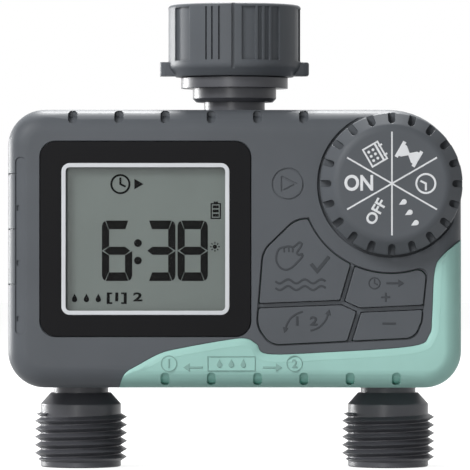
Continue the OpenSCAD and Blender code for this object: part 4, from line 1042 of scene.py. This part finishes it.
def door_plate(name, grow, near, far):
    """The door's plate, or its recess, with the tab at its hinge."""
    low = HINGE_Z + DOOR_FOOT - grow
    high = DOOR_HIGH.z + grow
    width = DOOR_HIGH.x - DOOR_LOW.x + 2 * grow
    piece = plate(name, (0, 0, (low + high) / 2), width, high - low, near, far, 2.5 * MM + grow)
    tab_low = HINGE_Z - DOOR_THICKNESS if grow else HINGE_Z
    tab = plate("Tab", (0, 0, (tab_low + low + OVER) / 2), 2 * HINGE_HALF + (0.8 * MM if grow else 0),
                low + OVER - tab_low, near, far)
    return combine(piece, tab, "UNION")


class TIMER_OT_housing_back(Operator):
    """Model the rear shell with its battery opening and screw wells"""
    bl_idname = "timer.housing_back"
    bl_label = "Rear Shell"

    def execute(self, context):
        housing = context.scene.timer_housing
        shell = case_block("housing_back", housing, 0, 0, BACK, housing.rear_edge)
        combine(shell, case_block("Cavity", housing, housing.wall, -OVER, BACK - housing.wall,
                                  housing.rear_edge - housing.wall))
        for x, z in SCREWS:
            combine(shell, rod("Boss", WELL_R + WELL_WALL, BOSS_START, BACK - 2 * MM, x * MM, z * MM, 48),
                    "UNION")
        for x, z in SCREWS:
            combine(shell, rod("Well", WELL_R, WELL_START, BACK + OVER, x * MM, z * MM, 48))
            combine(shell, rod("Shank", 1.5 * MM, 0, WELL_START + OVER, x * MM, z * MM, 24))
        # recess for the door, the opening behind it and a finger scoop
        combine(shell, door_plate("Seat", 0.5 * MM, DOOR_INNER - 0.15 * MM, BACK + OVER))
        combine(shell, plate("Opening", (0, 0, BOX_MID), BOX_WIDTH, BOX_HEIGHT, BACK - 8 * MM, BACK + OVER,
                             1 * MM))
        combine(shell, finger_scoop())
        pipe_holes(shell)
        tidy_faces(shell)
        round_rims(shell, housing.rim, 2, BACK, PARTING)
        finish(shell, "housing", "housing_plastic", ["rear_shell"], flats=True)
        return {"FINISHED"}


class TIMER_OT_battery_door(Operator):
    """Model the battery door with its hinge barrel, scoop and grip lines"""
    bl_idname = "timer.battery_door"
    bl_label = "Battery Door"

    def execute(self, context):
        door = door_plate("battery_lid", 0, DOOR_INNER, DOOR_HIGH.y)
        round_rims(door, 0.5 * MM, 3, DOOR_HIGH.y)
        combine(door, start("cylinder", "Barrel", vertices=32, radius=DOOR_THICKNESS / 2,
                            depth=2 * HINGE_HALF, location=(0, DOOR_MID, HINGE_Z),
                            rotation=(0, RIGHT_ANGLE, 0)), "UNION")
        for side in (-1, 1):
            combine(door, plate("Rib", (side * 15 * MM, 0, BOX_MID), 1.6 * MM, BOX_HEIGHT - 6 * MM,
                                DOOR_INNER - 3 * MM, DOOR_INNER + OVER, 0.6 * MM, 3), "UNION")
        combine(door, finger_scoop())
        count, drop, pitch, width, height, depth = GRIP_LINES
        for i in range(count):
            combine(door, plate("Line", (0, 0, DOOR_HIGH.z - drop - i * pitch), width, height,
                                DOOR_HIGH.y - depth, DOOR_HIGH.y + OVER, depth, 4))
        tidy_faces(door)
        finish(door, "battery_door", "housing_plastic", ["battery_door"], flats=True)
        return {"FINISHED"}


class TIMER_OT_case_screws(Operator):
    """Model the housing screws with their crossed recesses"""
    bl_idname = "timer.case_screws"
    bl_label = "Housing Screws"

    def execute(self, context):
        head = rounded([(0, 8 * MM), (2.9 * MM, 8 * MM), (2.9 * MM, WELL_START), (1.2 * MM, WELL_START),
                        (1.2 * MM, -11 * MM), (0.4 * MM, -12 * MM), (0, -12 * MM)], (1, 0.8 * MM, 4))
        screw = revolve("Screw", head, "Y", steps=32)
        for turn in (0, RIGHT_ANGLE):
            combine(screw, start("cube", "Slot", size=1, location=(0, 8 * MM, 0), rotation=(0, turn, 0),
                                 scale=(3.2 * MM, 2.4 * MM, 0.7 * MM)))
        pieces = [copied(screw, (x * MM, 0, z * MM)) for x, z in SCREWS]
        bpy.data.objects.remove(screw)
        finish(join("shell_screws", pieces), "housing", "steel", ["case_screws"])
        return {"FINISHED"}


# ---- trim ----

# Steps of the sloped inner edge, as shares of its width and its height
TRIM_SLOPE = [(0.2, 0.4), (0.25, 0.25), (0.45, 0.35)]
MARK_Z = -103.5 * MM
MARK_DEPTH = 0.14 * MM
# The signs on the trim lie this far to each side of their middles, in millimetres
NUMBER_OUT, NUMBER_MID = 17.9, -0.8
ARROW_OUT, ARROW_MID, ARROW_DROP = 11.1, -0.5, 1.1


class TIMER_OT_corner_trim(Operator):
    """Model the soft corner trim with its sloped inner edge and notches"""
    bl_idname = "timer.corner_trim"
    bl_label = "Corner Trim"

    def execute(self, context):
        housing = context.scene.timer_housing
        trim = context.scene.timer_trim
        piece = case_block("corner_trim_cover", housing, 0, TRIM_BACK - SLACK, TRIM_FRONT, housing.front_edge)
        region = prism("Region", trim_outline(), OVER, FACE - trim.lip)
        with shaping(region):
            pick("FACE", lambda f: f.normal.y < -0.9)
            rise = FACE - TRIM_FRONT - trim.lip
            slope = [(trim.slope * across, rise * up) for across, up in TRIM_SLOPE]
            for across, up in [*slope, (trim.crest, -trim.step)]:
                bpy.ops.mesh.inset(thickness=across, depth=up)
                bpy.ops.mesh.remove_doubles(threshold=0.3 * MM)
        combine(piece, region, "INTERSECT")
        combine(piece, core(housing, trim.thickness))
        combine(piece, post("Hole", OUTLET_NECK_R + 2 * SLACK, BOTTOM - OVER, BOTTOM + PIPE_HOLE, OUTLET_X))
        for i in range(NOTCHES):
            cutter = notch((i - 1.5) * housing.notch_pitch, BOTTOM + 0.9 * MM, BOTTOM + 4.4 * MM,
                           trim.notch_width, FACE + housing.front_edge, FACE - 2 * OVER,
                           trim.notch_width * 0.4)
            engrave(piece, cutter, housing, trim.notch_depth)
        tidy_faces(piece)
        finish(piece, "housing", "trim_rubber", ["corner_trim"], flats=True)
        front = TRIM_FRONT + trim.step
        near, far = front + 0.15 * MM, front - MARK_DEPTH
        framed = [loop(0.3, rectangle(6.75, -2.0, 2.0)), *DROPS]
        signs = [figure("Mark", framed, (-0.9 * MM, MARK_Z), near, far)]
        for side, number, width in ((-1, "1", 0.5), (1, "2", 1.5)):
            place = ((NUMBER_MID + side * NUMBER_OUT) * MM, MARK_Z)
            signs += [figure("Mark", [hoop(2.35, 0.3)], place, near, far),
                      lettering("Mark", number, place, width * MM, 2.5 * MM, near, far),
                      figure("Mark", ARROW, ((ARROW_MID + side * ARROW_OUT) * MM, MARK_Z - ARROW_DROP * MM),
                             near, far, 90 - side * 90, 1.2)]
        # The trim marks get the darker copy of the trim colour, painted shade
        finish(join("trim_marks", signs), "housing", "painted_shade_trim_mark")
        return {"FINISHED"}


# ---- display ----

WINDOW = (45.5 * MM, 40.9 * MM)
PRINT_DEPTH = 0.08 * MM
# Digits and dots of the time in millimetres, and the signs as shapes, x, z and size
DIGIT_SIZE = (8.65, 17.25, 2.06, 2.45)
DIGITS = [("6", -33.55), ("3", -21.2), ("8", -11.95)]
DIGIT_Z = -71.35
DOTS = [(-27.6, -69.15), (-27.6, -74.15)]
DOT_R = 1.1 * MM
DISPLAY_SIGNS = [(CLOCK, -32.6, -52.3, 1.25), (START, -27.5, -52.3, 1), (BATTERY, -5.35, -59.9, 1),
                 (SUN, -5.6, -70.2, 1), (DROPS, -42.3, -84.9, 1)]


class TIMER_OT_display(Operator):
    """Model the display's border, white line and digits"""
    bl_idname = "timer.display"
    bl_label = "Display"

    def execute(self, context):
        display = context.scene.timer_display
        size = BORDER_HIGH - BORDER_LOW
        front, back = BORDER_LOW.y, BORDER_HIGH.y
        border = plate("display_surround", DISPLAY, size.x, size.z, back, front, display.corner, 12)
        with shaping(border):
            pick("EDGE", at_depth(front))
            bevel(0.25 * MM, 2)
        combine(border, plate("Window", DISPLAY, *WINDOW, back + OVER, front - OVER, 1.2 * MM, 6))
        finish(border, "housing", "black_border", ["display_border"], flats=True)
        near, far = front + 0.1 * MM, FACE - 0.1 * MM
        rim = plate("display_line", DISPLAY, *(side + 2 * display.line for side in WINDOW), near, far,
                    display.line_corner)
        combine(rim, plate("Inner", DISPLAY, *WINDOW, near + OVER, far - OVER,
                           display.line_corner - display.line))
        finish(rim, "housing", "white_print", flats=True)

        near, far = PANEL_FRONT, PANEL_FRONT - PRINT_DEPTH
        digits = [prism("Bar", [((x + a) * MM, (DIGIT_Z + b) * MM) for a, b in bar], near, far)
                  for digit, x in DIGITS for bar in digit_bars(digit, *DIGIT_SIZE)]
        digits += [rod("Dot", DOT_R, near, far, x * MM, z * MM, 32) for x, z in DOTS]
        finish(join("lcd_digits", digits), "housing", "lcd_ink")
        signs = figures(DISPLAY_SIGNS, near, far)
        signs.append(lettering("Zones", "[1] 2", (-31.4 * MM, -84.9 * MM), 10.2 * MM, 3.3 * MM, near, far))
        finish(join("lcd_signs", signs), "housing", "lcd_ink")
        return {"FINISHED"}


# ---- keypad ----

KEY_BACK = FACE + 3.6 * MM
# Raised marks on each key, as shapes, x, z and size; they get a darker copy of the housing colour as painted
# shade
KEY_MARKS = {"ok": [(HAND, 15.6, -73.2, 1.08), (CHECK, 24.2, -75.4, 1.6), (WAVES, 18.8, -81.0, 0.95)],
             "delay": [(CLOCK, 39.9, -80.6, 0.75), (ARROW, 45.6, -80.6, 1.1), (PLUS, 43.1, -84.6, 0.9)],
             "zone": [(ROUND_ARROWS, 20.6, -91.4, 1.0)], "minus": [(MINUS, 44.1, -92.1, 1.0)]}


def centre_of(piece):
    return sum((Vector(corner) for corner in piece.bound_box), Vector()) / 8


class TIMER_OT_keys(Operator):
    """Model the four keys from one block parted by the gaps"""
    bl_idname = "timer.keys"
    bl_label = "Keys"

    def execute(self, context):
        keypad = context.scene.timer_keypad
        front = FACE - keypad.proud
        block = keypad_block("Keys", keypad, 0, KEY_BACK, front, keypad.gap)
        with shaping(block):
            pick("EDGE", along("Y"))
            bevel(keypad.key_corner, 4)
            pick("EDGE", rim_edges(front))
            bevel(keypad.key_edge, 3)
            pick("FACE")
            bpy.ops.mesh.separate(type="LOOSE")
        parts = list(bpy.context.selected_objects)
        near, far = front + 0.1 * MM, front - 0.1 * MM
        for name in KEY_MARKS:
            middle = sum(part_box(f"{name}_button"), Vector()) / 2
            part = min(parts, key=lambda p: (centre_of(p) - middle).length)
            parts.remove(part)
            part.name = part.data.name = f"{name}_key"
            tidy_faces(part)
            finish(part, f"{name}_button", "housing_plastic", [f"{name}_button"], flats=True)
        for name, marks in KEY_MARKS.items():
            signs = figures(marks, near, far)
            if name == "zone":
                signs.append(lettering("Mark", "1  2", (20.6 * MM, -91.35 * MM), 6.2 * MM, 2.6 * MM,
                                       near, far))
            # The key marks get the darker copy of the housing colour, painted shade
            finish(join(f"{name}_mark", signs), f"{name}_button", "painted_shade_mark_plastic")
        return {"FINISHED"}


# ---- dial ----

DIAL_FACE = DIAL_LOW.y + 0.05 * MM
DIAL_BACK = RECESS_FLOOR - 0.7 * MM
HUB_STEP = -22.7 * MM
SHAFT_R = 3.5 * MM
FINGER_REACH = 6 * MM
FINGER_DEPTH = 6.5 * MM
# Signs on the dial, as shapes, angle from the right and size
DIAL_SIGNS = [(CALENDAR, 120, 1.25), (HOURGLASS, 60, 1.25), (CLOCK, 0, 1.3), (DROPS, -60, 1.0)]


def around(reach, aim):
    """A place on the dial, as a distance from its centre and an angle from the right."""
    turn = math.radians(aim)
    return DIAL.x + reach * MM * math.cos(turn), DIAL.z + reach * MM * math.sin(turn)


class TIMER_OT_dial(Operator):
    """Model the selector dial with its finger notches and printed face"""
    bl_idname = "timer.dial"
    bl_label = "Selector Dial"

    def execute(self, context):
        dial = context.scene.timer_dial
        slope = DIAL_RADIUS - dial.face
        profile = [(0, DIAL_FACE), (dial.face, DIAL_FACE), (DIAL_RADIUS, DIAL_FACE + slope),
                   (DIAL_RADIUS, DIAL_BACK), (HUB_R, DIAL_BACK), (HUB_R, HUB_STEP), (SHAFT_R, HUB_STEP),
                   (SHAFT_R, DIAL_HIGH.y), (0, DIAL_HIGH.y)]
        profile = rounded(profile, (3, 0.5 * MM, 4), (2, 1.2 * MM, 4), (1, dial.fillet * 2, 6))
        knob = revolve("dial_knob", profile, "Y", DIAL, steps=FINE_STEPS)
        cutter = plate("Notch", (DIAL.x, 0, DIAL.z + dial.face + 1 * MM + FINGER_REACH / 2), dial.notch_width,
                       FINGER_REACH, DIAL_FACE + FINGER_DEPTH, DIAL_FACE - OVER)
        with shaping(cutter):
            pick("EDGE", lambda e: along("Y")(e) and e.verts[0].co.z < DIAL.z + dial.face + 2 * MM)
            bevel(dial.notch_width * 0.48, 6)
        for i in range(dial.notches):
            combine(knob, copied(cutter, turn=i * FULL_TURN / dial.notches, axis="Y", centre=DIAL))
        bpy.data.objects.remove(cutter)
        tidy_faces(knob)
        finish(knob, "dial", "housing_plastic", ["selector_dial"], flats=True)
        near, far = DIAL_FACE + 0.1 * MM, DIAL_LOW.y
        bars = []
        for i in range(3):
            bar = plate("Line", DIAL, dial.line_width, 2 * dial.line_reach, near, far)
            bars.append(copied(bar, turn=i * math.pi / 3, axis="Y", centre=DIAL))
            bpy.data.objects.remove(bar)
        lines = bars[0]
        for bar in bars[1:]:
            combine(lines, bar, "UNION")
        finish(lines, "dial", "dial_print")
        lines.name = "dial_lines"
        signs = [lettering("On", "ON", (DIAL.x - 9.4 * MM, DIAL.z + 0.2 * MM), 8.2 * MM, 4.6 * MM, near, far),
                 lettering("Off", "OFF", around(9.2, 240), 7.6 * MM, 3.2 * MM, near, far, 60)]
        signs += [figure("Sign", shapes, around(9.6, aim), near, far, aim - 180, size)
                  for shapes, aim, size in DIAL_SIGNS]
        finish(join("dial_signs", signs), "dial", "dial_print")
        return {"FINISHED"}


# ---- inlet ----

NUT_R = 19.35 * MM
NUT_SHOULDER = -18.05 * MM
NUT_FLOOR = -16.4 * MM
SPIGOT_R = 11.2 * MM
NUT_BORE = 13.6 * MM
BORE_RELIEF = 0.3 * MM
RIB_TOP = -1.0 * MM
RIB_BOTTOM = -16.34 * MM
WING_X = 19 * MM
THREAD_TOP = -1.6 * MM
CREST_HALF = 0.12 * MM
# Recesses round the front half of the nut, as (start, end) in degrees from the front centre
NUT_RECESSES = [(-62.7, -42.5), (-25.7, -24.3), (-20.2, -18.8), (-14.0, -12.4), (6.3, 18.4), (20.6, 24.6),
                (26.8, 31.3), (33.6, 42.5), (65, 97)]
GROOVE = (-2.4, 0.2)


def sector(name, inner, outer, low, high, first, last):
    """A part of a ring between two angles, in degrees to the right of the front centre."""
    turn = math.radians(first) - RIGHT_ANGLE
    aim = Vector((math.cos(turn), math.sin(turn), 0))
    piece = close_loop(name, [aim * reach + Vector((0, 0, height)) for reach, height in (
        (inner, low), (outer, low), (outer, high), (inner, high))])
    pick("FACE")
    bpy.ops.mesh.spin(steps=max(2, round(abs(last - first) / 2.5)), angle=math.radians(first - last),
                      center=(0, 0, 0), axis=(0, 0, 1))
    return closed_up(piece)


def helix(name, profile, pitch, turns, low, centre=(0, 0), steps=48):
    """A ridge of (radius, height) pairs wound round a Z axis, upwards from low."""
    loop = [(centre[0] + r, centre[1], low + h) for r, h in profile]
    piece = closed_up(chain(name, loop + loop[:1]))
    bpy.context.scene.cursor.location = (centre[0], centre[1], 0)
    bpy.ops.object.origin_set(type="ORIGIN_CURSOR")
    count = round(steps * turns)
    modify(piece, "SCREW", axis="Z", angle=FULL_TURN * turns, screw_offset=pitch * turns, steps=count,
           render_steps=count, use_merge_vertices=False)
    settle()
    middle = low + pitch * turns / 2
    with shaping(piece):
        for end in (-1, 1):
            pick("EDGE", lambda e: e.is_boundary and end * (e.verts[0].co.z - middle) > pitch)
            bpy.ops.mesh.edge_face_add()
        face_out()
    return piece


class TIMER_OT_swivel_nut(Operator):
    """Model the swivel nut with its ribs, wings and inner thread"""
    bl_idname = "timer.swivel_nut"
    bl_label = "Swivel Nut"

    def execute(self, context):
        inlet = context.scene.timer_inlet
        relief = NUT_BORE + BORE_RELIEF
        profile = [(SPIGOT_R, NUT_BOTTOM), (NUT_R - 2.2 * MM, NUT_BOTTOM), (NUT_R, NUT_SHOULDER),
                   (NUT_R, 0), (NUT_BORE, 0), (NUT_BORE, -11.3 * MM), (relief, -11.6 * MM),
                   (relief, NUT_FLOOR), (SPIGOT_R, NUT_FLOOR)]
        profile = rounded(profile, (4, 0.4 * MM, 4), (3, 1.0 * MM, 4), (2, 2.6 * MM, 6), (1, 0.5 * MM, 4))
        nut = revolve("tap_nut", profile, closed=True, steps=FINE_STEPS)
        for side in (-1, 1):
            wing = start("cube", "Wing", size=1, location=(side * 18.4 * MM, 0, -18.55 * MM),
                         scale=(6.6 * MM, 7 * MM, 4 * MM))
            with shaping(wing):
                pick("EDGE", lambda e: along("Z")(e) and side * e.verts[0].co.x > WING_X)
                bevel(1.6 * MM, 6)
                pick("EDGE", lambda e: side * min(side * v.co.x for v in e.verts) > WING_X * side
                     and abs(e.verts[0].co.z - e.verts[1].co.z) < TINY and e.calc_face_angle(0) > 1)
                bevel(1.4 * MM, 6)
            combine(nut, wing, "UNION")
        inner, outer = NUT_R - inlet.rib_depth, NUT_R + 4 * MM
        for turn in (0, 180):
            for first, last in NUT_RECESSES:
                combine(nut, sector("Recess", inner, outer, RIB_BOTTOM, RIB_TOP, first + turn, last + turn))
            combine(nut, sector("Groove", inner, outer, NUT_BOTTOM + 1.4 * MM, OVER, turn + GROOVE[0],
                                turn + GROOVE[1]))
        pitch = inlet.thread_pitch
        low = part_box("inlet_washer")[1].z + 1.4 * MM
        foot, crest = NUT_BORE + 0.4 * MM, NUT_BORE - inlet.thread_height
        ridge = [(foot, -pitch * 0.36), (crest, -CREST_HALF), (crest, CREST_HALF), (foot, pitch * 0.36)]
        combine(nut, helix("Thread", ridge, pitch, int((THREAD_TOP - low) / pitch), low), "UNION")
        tidy_faces(nut)
        finish(nut, "swivel_nut", "housing_plastic", ["swivel_nut"], flats=True)
        return {"FINISHED"}


# ---- outlets ----

OUTLET_BORE = 4.8 * MM
SOCKET_R = 7 * MM
FLANGE_R = 9.2 * MM
OUTLET_NECK = 8 * MM
BARREL_R = 11.7 * MM
THREAD_TURNS = 6.6


class TIMER_OT_outlets(Operator):
    """Model the two threaded outlets"""
    bl_idname = "timer.outlets"
    bl_label = "Outlets"

    def execute(self, context):
        outlet = context.scene.timer_outlet
        end, top = OUTLET_LOW.z, OUTLET_HIGH.z
        flange = BOTTOM + 3.3 * MM
        shoulder = BOTTOM - 2.2 * MM
        barrel = BOTTOM - 5.4 * MM
        axis = (OUTLET_X, 0, 0)
        profile = [(OUTLET_BORE, top), (SOCKET_R, top), (SOCKET_R, flange + 2.5 * MM),
                   (FLANGE_R, flange + 2.5 * MM), (FLANGE_R, flange), (OUTLET_NECK, flange),
                   (OUTLET_NECK, shoulder), (8.8 * MM, shoulder), (BARREL_R, barrel),
                   (BARREL_R, end + 0.3 * MM), (BARREL_R - 0.3 * MM, end), (outlet.bore + 0.5 * MM, end),
                   (outlet.bore, end + 0.5 * MM), (outlet.bore, barrel), (OUTLET_BORE, barrel + 2 * MM)]
        body = revolve("Outlet", rounded(profile, (8, 0.6 * MM, 4)), closed=True, centre=axis)
        half = outlet.pitch / 2
        ridge = [(outlet.root - 0.5 * MM, -half * 0.94), (outlet.root, -half * 0.88),
                 (outlet.crest - 0.15 * MM, -CREST_HALF), (outlet.crest, 0),
                 (outlet.crest - 0.15 * MM, CREST_HALF), (outlet.root, half * 0.88),
                 (outlet.root - 0.5 * MM, half * 0.94)]
        thread = helix("Thread", ridge, outlet.pitch, THREAD_TURNS, end + 0.4 * MM, axis, 64)
        # the thread runs out at both ends
        root, crest = outlet.root - SLACK, outlet.crest + SLACK
        limit = [(OUTLET_NECK, end + 1.6 * MM), (root, end + 1.6 * MM), (crest, end + 2.9 * MM),
                 (crest, barrel - 3.2 * MM), (root, barrel - 2.5 * MM), (OUTLET_NECK, barrel - 2.5 * MM)]
        combine(thread, revolve("Limit", limit, closed=True, centre=axis), "INTERSECT")
        combine(body, thread, "UNION")
        other = copied(body, (-2 * OUTLET_X, 0, 0))
        for name, piece in (("right", body), ("left", other)):
            piece.name = piece.data.name = f"{name}_hose_thread"
            finish(piece, "housing", "pipe_plastic", [f"{name}_outlet"], flats=True)
        return {"FINISHED"}


# ---- inner parts ----

# The parts that keep their CAD shape, by material
INNER = {
    "black_rubber": "shell_gasket dial_seal spigot_seal inlet_washer outlet_seals left_diaphragm "
                    "right_diaphragm door_seal",
    "steel": "dial_clip coil_yokes left_plunger right_plunger left_plunger_spring right_plunger_spring "
             "bonnet_screws cell_springs cell_contacts door_pin board_screws",
    "pipe_plastic": "swivel_spigot water_manifold battery_box",
    "white_plastic": "lcd_holder dial_wiper left_bonnet right_bonnet",
    "copper_coil": "left_coil right_coil", "cell_wrap": "upper_cell lower_cell",
    "brass_contact": "dial_contacts", "silicone": "keypad_membrane", "board": "circuit_board",
    "filter_plastic": "inlet_filter", "clear_lens": "display_lens", "lcd_glass": "lcd_panel",
    "pink_rubber": "lcd_connectors"}


class TIMER_OT_inner_parts(Operator):
    """Give the parts inside the housing their finishes"""
    bl_idname = "timer.inner_parts"
    bl_label = "Inner Parts"

    def execute(self, context):
        for material, names in INNER.items():
            for name in names.split():
                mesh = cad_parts[name].data
                mesh.materials.clear()
                mesh.materials.append(finishes()[material])
        return {"FINISHED"}


# ---- stage ----

CAMERA_SIDE = 0.15 * MM
CAMERA_DISTANCE = 1.25
CAMERA_HEIGHT = -66.85 * MM
CAMERA_LENS = 328.2
FLOOR_SIZE = 6
FLOOR_GAP = 0.02 * MM


def area_light(name, place, width, height, watts):
    """A lamp that faces the middle of the housing."""
    clear_selection()
    bpy.ops.object.light_add(type="AREA", location=place)
    lamp = bpy.context.object
    lamp.name = name
    lamp.data.shape = "RECTANGLE"
    lamp.data.size = width
    lamp.data.size_y = height
    lamp.data.energy = watts
    aim = Vector((0, 0, CASE_MID.z)) - Vector(place)
    lamp.rotation_euler = aim.to_track_quat("-Z", "Y").to_euler()


def directly_seen(tree):
    """1 for what the camera, a reflection or a clear pane shows, and 0 for light that bounces."""
    rays = node(tree, "ShaderNodeLightPath").outputs
    seen = calculated(tree, "MAXIMUM", rays["Is Camera Ray"], rays["Is Glossy Ray"])
    return calculated(tree, "MAXIMUM", seen, rays["Is Transmission Ray"])


class TIMER_OT_stage(Operator):
    """Set the floor, the lamps, the world and the camera"""
    bl_idname = "timer.stage"
    bl_label = "Stage"

    def execute(self, context):
        scene = context.scene
        stage = scene.timer_stage
        floor = start("plane", "floor", size=FLOOR_SIZE, location=(0, 0, CAD_BOX[0].z - FLOOR_GAP))
        paint = bpy.data.materials.new("Pale floor")
        paint.use_nodes = True
        tree = paint.node_tree
        shader = tree.nodes["Principled BSDF"]
        shader.inputs["Roughness"].default_value = 0.9
        shader.inputs["Specular IOR Level"].default_value = 0.1
        shader.inputs["Base Color"].default_value = (*stage.floor, 1)
        shader.inputs["Emission Color"].default_value = (1, 1, 1, 1)
        tree.links.new(calculated(tree, "MULTIPLY", directly_seen(tree), stage.glow),
                       shader.inputs["Emission Strength"])
        floor.data.materials.append(paint)

        world = bpy.data.worlds.new("Studio")
        world.use_nodes = True
        scene.world = world
        tree = world.node_tree
        background = tree.nodes["Background"]
        background.inputs["Color"].default_value = (1, 1, 1, 1)
        tree.links.new(ranged(tree, directly_seen(tree), 0.0, 1.0, stage.ambient, 1.0),
                       background.inputs["Strength"])

        area_light("Top light", (-0.02, 0.54, 0.8), 0.25, 0.25, stage.top_light)
        area_light("Key light", (-0.85, -0.85, 0.72), 0.5, 0.5, stage.key_light)
        area_light("Side light", (-0.85, 0.68, -0.02), 0.3, 0.3, stage.side_light)
        area_light("Strip light", (-0.27, -1.15, -0.05), 0.07, 0.9, stage.strip_light)

        clear_selection()
        bpy.ops.object.camera_add(location=(CAMERA_SIDE, -CAMERA_DISTANCE, CAMERA_HEIGHT),
                                  rotation=(RIGHT_ANGLE, 0, 0))
        camera = bpy.context.object
        camera.data.sensor_width = 36
        camera.data.lens = CAMERA_LENS
        camera.data.clip_start = 0.01
        scene.camera = camera
        scene.view_settings.view_transform = "Standard"
        return {"FINISHED"}


STEPS = [TIMER_OT_housing_front, TIMER_OT_housing_back, TIMER_OT_battery_door, TIMER_OT_case_screws,
         TIMER_OT_corner_trim, TIMER_OT_display, TIMER_OT_keys, TIMER_OT_dial, TIMER_OT_swivel_nut,
         TIMER_OT_outlets, TIMER_OT_inner_parts, TIMER_OT_stage]
SETTINGS = {"timer_housing": HousingSettings, "timer_trim": TrimSettings, "timer_display": DisplaySettings,
            "timer_keypad": KeypadSettings, "timer_dial": DialSettings, "timer_inlet": InletSettings,
            "timer_outlet": OutletSettings, "timer_finish": FinishSettings, "timer_stage": StageSettings}


class TIMER_PT_build(Panel):
    """Lists the steps that model the timer"""
    bl_idname = "TIMER_PT_build"
    bl_label = "Irrigation Timer"
    bl_space_type = "VIEW_3D"
    bl_region_type = "UI"
    bl_category = "Timer"

    def draw(self, context):
        column = self.layout.column(align=True)
        for step in STEPS:
            column.operator(step.bl_idname)


def register():
    for group in SETTINGS.values():
        bpy.utils.register_class(group)
    for name, group in SETTINGS.items():
        setattr(bpy.types.Scene, name, PointerProperty(type=group))
    for step in STEPS:
        bpy.utils.register_class(step)
    bpy.utils.register_class(TIMER_PT_build)


def unregister():
    bpy.utils.unregister_class(TIMER_PT_build)
    for step in reversed(STEPS):
        bpy.utils.unregister_class(step)
    for name in SETTINGS:
        delattr(bpy.types.Scene, name)
    for group in reversed(list(SETTINGS.values())):
        bpy.utils.unregister_class(group)


def main():
    register()
    for step in STEPS:
        area, name = step.bl_idname.split(".")
        getattr(getattr(bpy.ops, area), name)()


if __name__ == "__main__":
    main()
